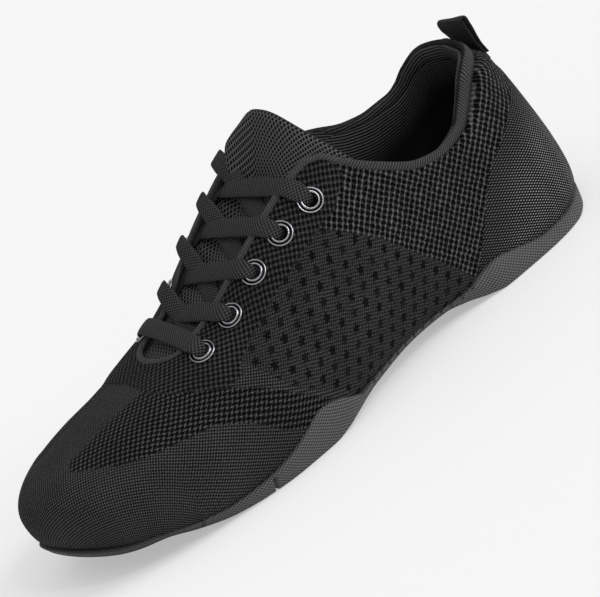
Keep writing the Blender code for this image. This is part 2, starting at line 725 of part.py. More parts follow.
def build_loop(parts):
    """Webbing sewn up the back of the heel and folded into a tab over the collar."""
    spine = np.array([HEEL_POLE, ridge_y(HEEL_POLE)])
    foot = fan_feet(HEEL_POLE, np.array([math.pi]))[0]
    wall = last_point(foot, spine, np.linspace(0, 1, 400))
    clear = GAP + LOOP_THICKNESS / 2
    layer = GAP + LOOP_THICKNESS
    front = [(np.interp(z, wall[:, 2], wall[:, 0]) - clear, z) for z in LOOP_FRONT_SEWN_Z]
    back = [(np.interp(z, wall[:, 2], wall[:, 0]) - clear - layer, z) for z in LOOP_BACK_SEWN_Z]
    path = np.array(front + list(LOOP_FOLD) + back)
    middle = np.column_stack([path[:, 0], np.zeros(len(path)), path[:, 1]])
    side = np.tile((0.0, 1.0, 0.0), (len(path), 1))
    tangent = np.gradient(middle, axis=0)
    normal = np.cross(tangent, side)
    normal /= np.linalg.norm(normal, axis=1, keepdims=True)
    band = strap_mesh(middle, side, normal, LOOP_WIDTH, LOOP_THICKNESS)
    return mesh_object("pull_loop", *band, "black webbing", parts)


def new_collection(name):
    collection = bpy.data.collections.new(name)
    bpy.context.scene.collection.children.link(collection)
    return collection


def main():
    for obj in list(bpy.data.objects):
        bpy.data.objects.remove(obj, do_unlink=True)
    parts = new_collection("knit cheer shoe")
    cutters = new_collection("cutters")
    foot, spine = last_ribs()
    build_sole(parts, cutters, foot, spine)
    build_upper(parts, cutters, foot, spine)
    build_insole(parts, foot, spine)
    build_tongue(parts)
    build_eyelets(parts)
    build_lace(parts, cutters)
    build_loop(parts)
    shoe = bpy.data.objects.new("shoe", None)
    parts.objects.link(shoe)
    shoe.location = Vector(PLACE) * MM
    for obj in [*parts.objects, *cutters.objects]:
        if obj is not shoe:
            obj.parent = shoe


main()
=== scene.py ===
import math

import bmesh
import bpy
import numpy as np
from mathutils import Matrix, Vector


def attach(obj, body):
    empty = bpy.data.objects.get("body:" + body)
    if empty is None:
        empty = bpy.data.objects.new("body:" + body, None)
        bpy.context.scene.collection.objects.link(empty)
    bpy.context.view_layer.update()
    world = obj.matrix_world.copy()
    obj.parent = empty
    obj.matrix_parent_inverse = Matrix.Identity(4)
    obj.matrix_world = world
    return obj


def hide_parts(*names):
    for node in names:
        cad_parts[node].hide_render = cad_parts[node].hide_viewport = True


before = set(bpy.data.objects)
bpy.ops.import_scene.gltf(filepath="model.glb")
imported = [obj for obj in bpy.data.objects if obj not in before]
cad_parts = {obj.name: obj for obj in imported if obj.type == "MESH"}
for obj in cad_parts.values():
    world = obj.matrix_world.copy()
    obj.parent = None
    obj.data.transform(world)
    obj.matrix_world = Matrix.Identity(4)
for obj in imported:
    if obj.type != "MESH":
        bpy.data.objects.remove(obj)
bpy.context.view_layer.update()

# A low knit cheer shoe for the left foot: toe to +X, outer side of the foot to +Y, sole on z = 0.
# Shapes are worked out in millimetres on the shoe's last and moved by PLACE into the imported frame.

MM = 0.001
MERGE = 0.01  # points nearer than this are one
PLACE = np.array((1.7, -0.25, 0.0))
ROUND = 2 * math.pi
QUARTER = math.pi / 2

# The last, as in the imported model

OUTLINE = (
    # x, y of the widest line, from the toe tip along the outer side to the heel and back
    (124.8, -7.5), (118, 13.5), (98, 31), (68, 40.4), (36, 44.6), (0, 41.7), (-40, 36.4),
    (-75, 34), (-105, 30.4), (-122.8, 16.6), (-128.1, 0), (-122.8, -16.4), (-105, -29),
    (-75, -30.4), (-40, -28.2), (0, -32.7), (36, -41.5), (62, -44.8), (90, -41.4),
    (112, -30.8), (122.4, -18.9),
)
SECTIONS = (
    # x, ridge y, tuck under, feather z, widest z, roof z, side power, crown power
    (-128.9, 0, 3.0, 3.0, 13, 118, 1.25, 1.43),
    (-112, 0, 2.4, 3.3, 17, 118, 1.8, 1.65),
    (-95, 0, 1.8, 3.6, 21, 115, 2.7, 2.0),
    (-60, 0, 3.0, 5.2, 24, 112.3, 2.8, 2.0),
    (-40, -0.8, 4.5, 8.4, 26, 104, 2.5, 2.0),
    (-20, -2.0, 5.0, 9.6, 27, 93.1, 2.1, 1.9),
    (10, -4.0, 4.8, 8.0, 24, 74.5, 1.9, 1.9),
    (40, -4.7, 4.0, 4.6, 20, 54.9, 2.0, 2.0),
    (70, -5.7, 4.0, 4.4, 18, 47.3, 2.5, 2.1),
    (100, -6.7, 3.5, 9.4, 22.4, 44.8, 2.5, 2.2),
    (127, -6.7, 3.0, 19.4, 27.4, 44.3, 2.5, 2.2),
)
INNER_FULLNESS = (
    # x, how much fuller the inner side is
    (-60, 1.0), (-35, 1.12), (-15, 1.5), (20, 1.75), (48, 1.45), (72, 1.06), (112, 1.0),
)
HEEL_POLE = -95  # ribs fan round the heel from here
TOE_POLE = 85  # and round the toe from here
HEEL_FAN = 81  # ribs in each fan
TOE_FAN = 97
THROAT_BASE = 58
THROAT_ROUND = 8
THROAT_TOP = -27
THROAT = (
    # x, half width
    (-30, 28), (-27, 26.8), (-21, 24.4), (-13, 23.3), (13, 21), (26, 18.7), (39, 16.4), (58, 14.5),
)
COLLAR = (
    # x, outer z, inner z
    (-128.9, 69, 69.5), (-112, 70.5, 71.5), (-105, 70.3, 67.6), (-99, 68.5, 63.4), (-90, 61.8, 61),
    (-81, 56, 61), (-69, 54.4, 63.4), (-56, 57, 69.4), (-41, 66, 75.6), (-30, 75.5, 79.8),
    (-27, 79.5, 81.5),
)
WALL = 1.8
PADDED_WALL = 7.2
PAD_DEPTH = 26
SHOULDER = 4.6
PAD_FULL_X = -100
PAD_END_X = -55
SOLE = (
    # x, bottom z, wall top z, bottom stand-out, top stand-out
    (-128.9, 0.8, 5.0, -2.2, -0.9),
    (-124, 0.5, 5.0, -2.0, -1.1),
    (-118, 0.2, 5.0, -0.6, -0.7),
    (-112, 0.1, 5.0, 0.9, -0.1),
    (-105, 0, 4.9, 2.3, 0.5),
    (-90, 0, 5.2, 2.7, 0.6),
    (-73, 0, 9.3, 2.3, 0.9),
    (-64, 0, 11.4, 1.6, 1.2),
    (-56, 1.4, 10.6, -0.4, 1.0),
    (-47, 4.1, 8.2, -2.8, -1.2),
    (-38, 5.5, 8.2, -6.0, -3.4),
    (-20, 6.2, 9.0, -7.0, -4.2),
    (2, 4.9, 7.8, -5.8, -3.4),
    (10, 4.0, 7.4, -4.6, -2.2),
    (16, 2.9, 10.0, -3.5, -0.5),
    (24, 1.0, 14.2, -3.0, 0.5),
    (31, 0, 15.6, -3.0, 0.7),
    (41, 0, 12.0, -2.8, 0.7),
    (50, 0, 8.8, -2.4, 0.4),
    (62, 0.2, 6.4, -2.8, -0.4),
    (73, 1.1, 5.8, -3.4, -1.3),
    (87, 4.5, 7.8, -3.7, -1.5),
    (97, 7.8, 10.4, -3.3, -1.3),
    (102, 8.6, 11.6, -2.7, -0.9),
    (105, 8.9, 12.2, -2.3, -0.7),
    (110, 9.7, 13.2, -2.2, -0.6),
    (119, 12.6, 16.4, -2.7, -0.8),
    (127, 16.8, 20.0, -3.0, -1.0),
)

# Knit zones of the upper, unrolled: length along the foot, then distance down from the ridge

WEDGE = (
    # open honeycomb from the toe to the wing of the sole
    (108, 14), (105, 19.2), (97, 30), (88, 37.1), (75, 42.1), (65, 46.3), (54, 56.3), (45, 68.7),
    (37, 76.1), (31, 86), (20, 86), (26, 76), (35, 62.8), (45, 49.7), (52, 41.7), (59, 34.2),
    (66, 24.3), (70, 12), (82, 10), (95, 10), (104, 9),
)
STRIPE = (
    # smooth centre of the vamp, distance across signed to the outer side
    (70, 12), (82, 11), (95, 11), (104, 10), (114, 6), (114, -7), (100, -11), (83, -12.5), (67, -17), (68, 0),
)
EYESTAY = (
    # small round holes beside the lacing
    (68, -2), (69.5, 14), (66, 24.3), (59, 34.2), (52, 41.7), (45, 42.5), (43, 39.4), (35, 37.3), (22, 38.7),
    (6, 41.5), (-9, 43.6), (-21, 49), (-37, 44), (-37, -2),
)
STARS = (
    # dense knit with large star-shaped holes on the quarter
    (-9, 43.6), (6, 41.5), (22, 38.7), (35, 37.3), (43, 39.4), (41, 44), (36, 58.3), (28, 69.9), (18, 82.1),
    (8, 104), (-46, 130), (-53, 115.7), (-43, 97.5), (-34, 82.9), (-26, 67.9), (-17, 55.2),
)
COLLAR_MESH = (
    # coarse mesh under the collar and down ahead of the heel
    (-9, 43.6), (-17, 55.2), (-26, 67.9), (-34, 82.9), (-43, 97.5), (-53, 115.7), (-60, 135), (-215, 135),
    (-215, -5), (-29, -5), (-29, 43), (-18, 46),
)
HEEL = (
    # girth from the back of the heel, height: fine shiny dots
    (-9, 76), (5, 76), (6, 68), (12, 62), (20, 59), (30.6, 55.1), (38.4, 52.9), (43.4, 50.7), (50.5, 47.3),
    (56.2, 43.9), (61.3, 41.6), (67.8, 37), (72.6, 31.4), (77.3, 25.8), (82.2, 20.5), (85.7, 16.3),
    (89.2, 12.1), (94, 4), (94, -9), (-9, -9),
)
INNER_STRETCH = (
    # x, girth of the outer side over that of the inner side
    (-95, 1.01), (-60, 1.034), (-40, 1.068), (-20, 1.11), (0, 1.16), (20, 1.187), (40, 1.168), (54, 1.133),
    (70, 1.106), (85, 1.108),
)

# Eyelets and lace

EYELET_ROWS = 5
EYELET_FIRST_X = 47
EYELET_PITCH_X = 15.2
EYELET_FIRST_OFFSET = 23.5
EYELET_OFFSET_STEP = 1.5
EYELET_INNER_BACK = 3.0  # the inner row sits further back
EYELET_HOLE_RADIUS = 3.1
EYELET_SEAT = {1: 0.1, -1: -0.35}  # height over the knit; the inner row is pressed deeper
EYELET_PROFILE = (
    # radius, height over the knit, share of painted shade (near black) in the groove, the hole and underneath
    (2.7, -2.0, 1), (2.65, 0.4, 0.6), (2.72, 0.85, 0), (2.95, 1.2, 0), (3.2, 1.27, 0), (3.42, 1.1, 0),
    (3.55, 0.8, 0.8), (3.7, 0.55, 1), (4.05, 0.5, 1), (4.2, 0.62, 0.8), (4.3, 0.82, 0), (4.5, 0.97, 0),
    (4.72, 0.9, 0), (4.85, 0.62, 0), (4.8, 0.3, 0.5), (4.5, 0.2, 1), (2.95, 0.2, 1), (2.9, -2.0, 1),
)
LACE_HALF_WIDTH = 3.7
LACE_HALF_THICKNESS = 0.8
LACE_SLANT_OVER = (0.0, 6.0, 8.0, 8.0, 8.5)  # toward the toe, by row
LACE_SLANT_UNDER = (0.0, 16.0, 18.5, 18.5, 18.5)
LACE_EDGE_STOP = 0.6
LACE_RISE_OVER = (
    # millimetres from the eyelet, height over the knit
    (0.0, -2.6), (0.5, -0.6), (1.9, 1.1), (3.6, 1.5), (6.0, 1.4),
)
LACE_RISE_UNDER = (
    # the same for the crossing underneath
    (0.0, -2.6), (0.5, -0.6), (1.9, 1.3), (3.4, 2.5), (5.2, 3.1),
)
LACE_EDGE_OVER = 1.5  # height at the near edge of the throat
LACE_EDGE_UNDER = (0.0, 3.8, 2.6, 2.4, 5.0)
LACE_TUCKED = (-3.0, -2.9, -3.0, -2.7, -2.6, -2.5)  # under the far side, to the next eyelet
LACE_TUCKED_SHARE = (0.0, 0.12, 0.35, 0.65, 0.9, 1.0)
LACE_BAR = (
    # share of the way from the outer eyelet to the inner one, height over the knit
    (0.0, -2.6), (0.012, -0.6), (0.045, 1.2), (0.085, 1.85), (0.14, 1.9), (0.22, 1.8), (0.36, 1.7),
    (0.5, 1.9), (0.64, 2.3), (0.78, 2.8), (0.86, 2.9), (0.915, 2.5), (0.955, 1.2), (0.988, -0.6), (1.0, -2.6),
)
LACE_OVER = (
    # share of the way from the near edge of the throat to the far one, height over a straight line
    (0.12, 0.3), (0.3, 0.8), (0.5, 1.3), (0.7, 1.5), (0.88, 1.2),
)
LACE_UNDER = (
    # the same for the crossing underneath
    (0.08, 0.6), (0.22, 0.0), (0.4, -1.1), (0.6, -1.2), (0.8, -0.7),
)

# Tongue

TONGUE_BASE = 66
TONGUE_TIP = -29
TONGUE_SWEEP = 9
TONGUE_DROP = 3.6
TONGUE_RISE = 5.1
TONGUE_FREE = -13
TONGUE_PAD = 5.0
TONGUE_EDGE = 1.6
TONGUE_THINS = 7.0  # from the edge in, the pad grows to its full thickness
TONGUE_EDGE_ROUND = 3.0
TONGUE_CHANNEL = 4.6  # half width of the channels that the lace presses in
TONGUE_CHANNEL_AHEAD = 5.0  # toward the toe from the eyelets
TONGUE_SAG = (
    # x, depth of the middle under the last, depth at the throat's edges
    (-40, 9.0, 3.6), (-12, 9.0, 3.6), (3, 7.6, 3.6), (18, 4.4, 3.4), (32, 2.0, 3.0), (45, 0.4, 2.4),
    (66, 0.0, 2.2),
)
TONGUE = (
    # x, half width
    (-40, 31), (0, 30), (30, 26), (66, 17),
)

# Collar roll

ROLL_STATIONS = 760
ROLL_THROAT_X = (-37, -25)  # the collar passes into the throat
ROLL_BACK_X = (-122, -92)  # the back of the heel passes into its sides
ROLL_SWELL_X = (-124, -58)  # the fuller inside thins along this
ROLL_SWELL_NEAR = 2.6  # fuller inside, on the outer half
ROLL_SWELL_BACK = 1.2  # and on the inner half, at the back only
ROLL_HALF_HEIGHT = 1.75
ROLL_BACK_RISE = 2.2  # higher at the back of the heel
ROLL_POWER = 2.1
ROLL_SUNK = 0.8  # its hidden side lies this deep in the wall

# Pull loop, a folded tab sewn to the back of the heel, seen from the side

LOOP_HALF_WIDTH = 6.4
LOOP_HALF_THICKNESS = 0.65
LOOP_FRONT_SEWN_Z = (62, 64.5, 67)
LOOP_FOLD = (
    # x, z, up the front leg, over the fold and down the back leg
    (-117.7, 70.8), (-116.7, 75.2), (-115.7, 79.0), (-115.9, 81.0), (-117.0, 81.1), (-118.2, 77.8),
    (-119.2, 72.4),
)
LOOP_BACK_SEWN_Z = (68, 66.4, 64.6)
LOOP_TWIST = -15.0  # degrees at the fold

# Camera that took the view: place round the shoe, distance, lens

CAMERA_AZIMUTH = 26.08
CAMERA_ELEVATION = 20.69
CAMERA_ROLL = -29.56
CAMERA_DISTANCE = 955.1
CAMERA_AIM = np.array((0.0, 0.0, 40.0))
CAMERA_FOCAL_PIXELS = 2655.6
CAMERA_SHIFT_PIXELS = (18.49, -7.24)
FRAME_WIDTH = 600
SENSOR = 36.0


# Curves

def cubic(t, width, a, b, slope_a, slope_b):
    """A cubic span of this width from a to b, with slopes at both, at the shares t of the way."""
    return ((1 + 2 * t) * (1 - t) ** 2 * a + t * (1 - t) ** 2 * width * slope_a
            + t * t * (3 - 2 * t) * b + t * t * (t - 1) * width * slope_b)


def spans(painted_crossing_sheen, values, tangent, x):
    """Cubic spans between rows of values at these knots, with these slopes, at x."""
    i = np.clip(np.searchsorted(painted_crossing_sheen, x, side="right") - 1, 0, len(painted_crossing_sheen) - 2)
    width = (painted_crossing_sheen[i + 1] - painted_crossing_sheen[i])[..., None]
    t = ((x - painted_crossing_sheen[i])[..., None]) / width
    return cubic(t, width, values[i], values[i + 1], tangent[i], tangent[i + 1])


def monotone(table, x):
    """Columns of a table at x: cubic between its rows, with slopes that never swing past a row."""
    rows = np.array(table, float)
    painted_crossing_sheen, values = rows[:, 0], rows[:, 1:]
    step = np.diff(painted_crossing_sheen)[:, None]
    slope = np.diff(values, axis=0) / step
    before, after = slope[:-1], slope[1:]
    weight_a = 2 * step[1:] + step[:-1]
    weight_b = step[1:] + 2 * step[:-1]
    same = before * after > 0
    safe_before = np.where(same, before, 1.0)
    safe_after = np.where(same, after, 1.0)
    middle = (weight_a + weight_b) / (weight_a / safe_before + weight_b / safe_after)
    tangent = np.vstack([slope[:1], np.where(same, middle, 0.0), slope[-1:]])
    return spans(painted_crossing_sheen, values, tangent, np.clip(x, painted_crossing_sheen[0], painted_crossing_sheen[-1]))


def closed_spline(points, per_span=60):
    """A closed cubic spline through points, with knots spaced by the root of the chord."""
    p = np.array(points, float)
    following = np.roll(p, -1, axis=0)
    h = np.sqrt(np.linalg.norm(following - p, axis=1))
    h_before = np.roll(h, 1)
    n = len(p)
    i = np.arange(n)
    matrix = np.zeros((n, n))
    matrix[i, i] = 2 * (h + h_before)
    matrix[i, (i - 1) % n] = h
    matrix[i, (i + 1) % n] = h_before
    rise = (following - p) / h[:, None]
    rise_before = np.roll(rise, 1, axis=0)
    tangent = np.linalg.solve(matrix, 3 * (h[:, None] * rise_before + h_before[:, None] * rise))
    t = (np.arange(per_span) / per_span)[None, :, None]
    curve = cubic(t, h[:, None, None], p[:, None], following[:, None], tangent[:, None],
                  np.roll(tangent, -1, axis=0)[:, None])
    return curve.reshape(-1, p.shape[1])


def smooth_path(points, count):
    """A path through points with cubic spans of chord-weighted slopes, cut into even lengths."""
    p = np.array(points, float)
    painted_crossing_sheen = run_length(p)
    step = np.diff(painted_crossing_sheen)[:, None]
    slope = np.diff(p, axis=0) / step
    ahead, behind = step[1:], step[:-1]
    middle = (slope[:-1] * ahead + slope[1:] * behind) / (ahead + behind)
    tangent = np.vstack([slope[:1], middle, slope[-1:]])
    fine = spans(painted_crossing_sheen, p, tangent, np.linspace(0, painted_crossing_sheen[-1], count * 8))
    run = run_length(fine)
    even = np.linspace(0, run[-1], count)
    return np.stack([np.interp(even, run, fine[:, k]) for k in range(p.shape[1])], axis=1)


def ease(value, low, high):
    """0 below low, 1 above high, and a smooth step between."""
    t = np.clip((value - low) / (high - low), 0, 1)
    return t * t * (3 - 2 * t)


def quarter_round(t):
    """Height of a quarter circle: 0 up to t = 0, and 1 from t = 1 on."""
    return np.sqrt(1 - (1 - np.clip(t, 0, 1)) ** 2)


def squared(wave, power):
    """A sine or cosine of a superellipse: its sign kept, its size raised to 2 / power."""
    return np.sign(wave) * np.abs(wave) ** (2 / power)


def unit(vectors):
    """Vectors at length 1."""
    return vectors / np.linalg.norm(vectors, axis=-1, keepdims=True)


def run_length(points):
    """Distance along each row of points from its first one."""
    step = np.linalg.norm(np.diff(points, axis=-2), axis=-1)
    return np.concatenate([np.zeros(step.shape[:-1] + (1,)), np.cumsum(step, axis=-1)], axis=-1)


def by_row(wanted, at, values):
    """Values of each row at the places wanted in it. Rows are set apart, so that one lookup serves all."""
    apart = 1000.0 * np.arange(len(at))[:, None]
    return np.interp(wanted + apart, (at + apart).ravel(), values.ravel())


def square_to(vectors, tangent):
    """Unit vectors turned square to a path's tangents."""
    return unit(vectors - (vectors * tangent).sum(axis=1, keepdims=True) * tangent)


def inside_by(points, outline):
    """Signed distance from points of a plane to a closed outline in it, positive inside."""
    a = np.array(outline, float)
    b = np.roll(a, -1, axis=0)
    edge = b - a
    from_a = points[:, None] - a
    t = np.clip((from_a * edge).sum(-1) / (edge * edge).sum(-1), 0, 1)
    distance = np.linalg.norm(from_a - t[..., None] * edge, axis=-1).min(axis=1)
    px, py = points[:, :1], points[:, 1:]
    crosses = (a[:, 1] > py) != (b[:, 1] > py)
    rise = np.where(edge[:, 1] == 0, 1.0, edge[:, 1])
    left = px < a[:, 0] + edge[:, 0] * (py - a[:, 1]) / rise
    within = (crosses & left).sum(axis=1) % 2 == 1
    return np.where(within, distance, -distance)


# The last

PLAN = closed_spline(OUTLINE)


def ridge_y(x):
    """y of the ridge at x."""
    return monotone(SECTIONS, np.asarray(x, float))[..., 0]


def side_y(x, side):
    """y of the widest line at x, on the outer side (+1) or the inner side (-1)."""
    line = PLAN[side * (PLAN[:, 1] - ridge_y(PLAN[:, 0])) > 0]
    order = np.argsort(line[:, 0])
    return np.interp(x, line[order, 0], line[order, 1])


def reach(x, side):
    """Distance across from the ridge to the widest line."""
    return np.abs(side_y(x, side) - ridge_y(x))


def on_side(x, offset, side):
    """A distance from the ridge on the outer side, carried to either side as the same share of the width."""
    return side * offset * reach(x, side) / reach(x, 1)


def fan_feet(pole, angles):
    """Points of the widest line seen from a pole of the ridge at these angles."""
    spine = np.array([pole, ridge_y(pole)])
    arm = PLAN - spine
    turn = np.mod(np.arctan2(arm[:, 1], arm[:, 0]), ROUND)
    distance = np.interp(angles, turn, np.linalg.norm(arm, axis=1), period=ROUND)
    return spine + distance[:, None] * np.column_stack([np.cos(angles), np.sin(angles)])


def ribs(body, heel_count, toe_count):
    """Feet on the widest line and spine points on the ridge of ribs that run from the outer toe along the
    outer side, fan round the heel, come back along the inner side and fan round the toe."""
    spine_body = np.column_stack([body, ridge_y(body)])
    outer = np.column_stack([body, side_y(body, 1)])
    inner = np.column_stack([body, side_y(body, -1)])
    heel_turn = np.linspace(-QUARTER, QUARTER, heel_count + 2)[1:-1]
    toe_turn = np.linspace(-QUARTER, QUARTER, toe_count + 2)[1:-1]
    foot = np.vstack([outer, fan_feet(HEEL_POLE, math.pi + heel_turn), inner[::-1],
                      fan_feet(TOE_POLE, toe_turn)])
    spine = np.vstack([spine_body, np.tile(spine_body[-1], (heel_count, 1)), spine_body[::-1],
                       np.tile(spine_body[0], (toe_count, 1))])
    return foot, spine


def rib_arms(foot, spine):
    """Length and direction of each rib's arm, from the ridge out to the widest line."""
    arm = foot - spine
    length = np.linalg.norm(arm, axis=-1)
    return length, arm / length[..., None]


def side_power(x, inner):
    """Power of a rib's superellipse. The inner side of the instep is fuller than the outer side."""
    return monotone(SECTIONS, x)[..., 5] * np.where(inner, monotone(INNER_FULLNESS, x)[..., 0], 1.0)


def last_point(foot, spine, v, grow=0.0):
    """The last moved out by grow: v is -1 at the feather edge, 0 at the widest line and 1 on the ridge.
    Above the widest line a rib is a superellipse, below it a quarter ellipse that tucks under."""
    v = np.asarray(v, float)
    foot = np.broadcast_to(foot, v.shape + (2,))
    spine = np.broadcast_to(spine, v.shape + (2,))
    length, direction = rib_arms(foot, spine)
    rows = monotone(SECTIONS, foot[..., 0])
    tuck, crown_power = rows[..., 1], rows[..., 6]
    power = side_power(foot[..., 0], foot[..., 1] < spine[..., 1])
    up = np.clip(v, 0, 1) * QUARTER
    down = np.clip(v, -1, 0) * QUARTER
    along = length * np.cos(up) ** (2 / power) - tuck * (1 - np.cos(down))
    xy = spine + direction * along[..., None]
    heights = monotone(SECTIONS, xy[..., 0])
    feather, widest, roof = heights[..., 2], heights[..., 3], heights[..., 4]
    z = widest + (roof - widest) * np.sin(up) ** (2 / crown_power) + (widest - feather) * np.sin(down)
    out = np.where(v < 0, np.cos(down), np.cos(up) / length)
    rise = np.where(v < 0, np.sin(down), np.sin(up) / (roof - widest))
    scale = grow / np.hypot(out, rise)
    xy = xy + direction * (out * scale)[..., None]
    return np.concatenate([xy, (z + rise * scale)[..., None]], axis=-1)


def instep(x, offset, grow=0.0):
    """The last's surface at x and a distance across from the ridge, moved out by grow."""
    x, offset = np.broadcast_arrays(np.asarray(x, float), np.asarray(offset, float))
    spine = np.stack([x, ridge_y(x)], axis=-1)
    y = np.where(offset > 0, side_y(x, 1), side_y(x, -1))
    foot = np.stack([x, y], axis=-1)
    power = side_power(x, offset < 0)
    share = np.abs(offset) / np.abs(y - spine[..., 1])
    v = np.arccos(np.clip(share, 0, 1) ** (power / 2)) / QUARTER
    return last_point(foot, spine, v, grow)


def instep_normal(x, offset):
    """Unit normal of the last's surface there, from neighbours half a millimetre away."""
    half = 0.5
    along = instep(x + half, offset) - instep(x - half, offset)
    across = instep(x, offset + half) - instep(x, offset - half)
    return unit(np.cross(along, across))


def throat_room(x):
    """Half width of the throat at x on the outer side, closed to a round end at its base."""
    return monotone(THROAT, x)[..., 0] * quarter_round((THROAT_BASE - x) / THROAT_ROUND)


def throat_edge(x, side):
    """Where the throat's edge lies across from the ridge."""
    return on_side(x, throat_room(x), side)


def collar_height(x, across):
    """Height of the collar's edge at x, on the outer side where across is above 0, else on the inner one."""
    heights = monotone(COLLAR, x)
    return np.where(across > 0, heights[..., 0], heights[..., 1])


def edge_height(foot, spine):
    """How far up each rib the upper's wall runs: to the ridge, to the throat's edge or to the collar's."""
    v = np.linspace(0, 1, 801)
    points = last_point(foot[:, None], spine[:, None], np.tile(v, (len(foot), 1)))
    x, y, z = points[..., 0], points[..., 1], points[..., 2]
    across = y - ridge_y(x)
    collar = collar_height(x, across)
    side = np.where(across > 0, 1, -1)
    throat = np.where(across > 0, throat_edge(x, 1), -throat_edge(x, -1))
    past = np.where(x > THROAT_TOP, throat - side * across, z - collar)
    first = np.argmax(past > 0, axis=1)
    rib = np.arange(len(foot))
    low = past[rib, first - 1]
    high = past[rib, first]
    crossing = v[first - 1] + (v[first] - v[first - 1]) * low / (low - high)
    return np.where((past > 0).any(axis=1), crossing, 1.0)


def eyelet_place(row, side):
    """Place along the foot and across from the ridge of an eyelet."""
    x = EYELET_FIRST_X - EYELET_PITCH_X * row - (EYELET_INNER_BACK if side < 0 else 0.0)
    return x, float(on_side(x, EYELET_FIRST_OFFSET + EYELET_OFFSET_STEP * row, side))


# Meshes

def grid_quads(columns, rows, start=0, closed=False):
    """Corner numbers of the quads of a grid stored column by column, joined end to end if closed."""
    i = np.arange(columns if closed else columns - 1)
    j = np.arange(rows - 1)
    a = (i[:, None] * rows + j).ravel()
    after = (((i + 1) % columns)[:, None] * rows + j).ravel()
    return np.stack([a, after, after + 1, a + 1], axis=1) + start


def strip_quads(first, second):
    """Quads between two lines of corner numbers of the same length."""
    return np.stack([first[:-1], first[1:], second[1:], second[:-1]], axis=1)


def new_object(name, data):
    """An object of the scene made of this data."""
    made = bpy.data.objects.new(name, data)
    bpy.context.scene.collection.objects.link(made)
    return made


def new_piece(name, points, quads, finishes, fields, worn=None):
    """A closed mesh in the frame from points in the last's millimetres. Points that coincide are merged,
    and all faces turn outward together by the sign of the volume they enclose."""
    points = (np.asarray(points, float).reshape(-1, 3) + PLACE) * MM
    a, b, c, d = (points[quads[:, k]] for k in range(4))
    volume = (np.cross(b, c) * a).sum() + (np.cross(c, d) * a).sum()
    turned = quads[:, ::-1] if volume < 0 else quads
    mesh = bpy.data.meshes.new(name)
    mesh.from_pydata(points.tolist(), [], turned.tolist())
    for key, values in fields.items():
        flat = np.asarray(values, np.float32).reshape(len(points), -1)
        kind, item = ("FLOAT", "value") if flat.shape[1] == 1 else ("FLOAT_VECTOR", "vector")
        mesh.attributes.new(key, kind, "POINT").data.foreach_set(item, flat.ravel())
    for finish in finishes:
        mesh.materials.append(finish)
    if worn is not None:
        mesh.polygons.foreach_set("material_index", worn.astype(np.int32))
    bm = bmesh.new()
    bm.from_mesh(mesh)
    bmesh.ops.remove_doubles(bm, verts=bm.verts, dist=MERGE * MM)
    bm.to_mesh(mesh)
    bm.free()
    mesh.shade_smooth()
    piece = new_object(name, mesh)
    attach(piece, "root")
    return piece


def swept(path, side, normal, across, lift):
    """A closed profile carried along a path. Ring k is the path's point plus side by across plus normal by
    lift, and both ends close on a point. Gives points, quads, and length and girth at each point."""
    rings = path[:, None] + side[:, None] * across[..., None] + normal[:, None] * lift[..., None]
    around = rings.shape[1]
    ends = np.repeat(rings[[0, -1]].mean(axis=1)[:, None], around, axis=1)
    rings = np.concatenate([ends[:1], rings, ends[1:]])
    quads = grid_quads(around, len(rings), closed=True)
    points = rings.transpose(1, 0, 2)
    length = run_length(rings.mean(axis=1))
    closed_ring = np.concatenate([rings, rings[:, :1]], axis=1)
    girth = run_length(closed_ring)[:, :-1]
    measure = np.stack([np.tile(length, (around, 1)), girth.T, np.zeros_like(girth.T)], axis=-1)
    return points, quads, measure


def flat_profile(half_width, half_thickness, around=24, power=2.4):
    """A flat rounded profile, a superellipse: across = w cos^(2/p), lift = t sin^(2/2.2)."""
    turn = np.linspace(0, ROUND, around, endpoint=False)
    across = np.multiply.outer(half_width, squared(np.cos(turn), power))
    return across, np.multiply.outer(half_thickness, squared(np.sin(turn), 2.2))


# Finishes

def linear(code):
    """An sRGB hex colour as linear RGBA."""
    part = np.array([int(code[i:i + 2], 16) for i in (1, 3, 5)]) / 255
    light = np.where(part <= 0.04045, part / 12.92, ((part + 0.055) / 1.055) ** 2.4)
    return (*light, 1.0)


def add(tree, kind, links, out=0, **settings):
    """One shader node with its settings, its inputs linked to sockets or set to values. Gives an output."""
    made = tree.nodes.new("ShaderNode" + kind)
    for name, value in settings.items():
        setattr(made, name, value)
    for place, source in links.items():
        if isinstance(source, bpy.types.NodeSocket):
            tree.links.new(source, made.inputs[place])
        else:
            made.inputs[place].default_value = source
    return made.outputs[out]


def calc(operation, *values):
    """Arithmetic on numbers, the first of them a socket."""
    return add(values[0].id_data, "Math", dict(enumerate(values)), operation=operation)


def move(operation, *vectors):
    """Arithmetic on vectors, the first of them a socket."""
    return add(vectors[0].id_data, "VectorMath", dict(enumerate(vectors)), operation=operation)


def dot(vector, weights):
    """A vector's parts, each times its weight, added up."""
    return add(vector.id_data, "VectorMath", {0: vector, 1: weights}, out=1, operation="DOT_PRODUCT")


def gather(*values):
    """A vector of two or three sockets."""
    return add(values[0].id_data, "CombineXYZ", dict(enumerate(values)))


def parts(vector):
    """A vector's three parts."""
    return add(vector.id_data, "SeparateXYZ", {0: vector}).node.outputs


def noise(place, scale, detail, out=0):
    """Soft random spots: a number, or with out 1 a vector."""
    return add(place.id_data, "TexNoise", {"Vector": place, "Scale": scale, "Detail": detail}, out)


def field(finish, name, out=1):
    """What a piece's points carry under a name: a vector, or with out 2 a number."""
    return add(finish.node_tree, "Attribute", {}, out, attribute_name=name)


def object_place(finish):
    """Place on the piece in metres."""
    return add(finish.node_tree, "TexCoord", {}, out=3)


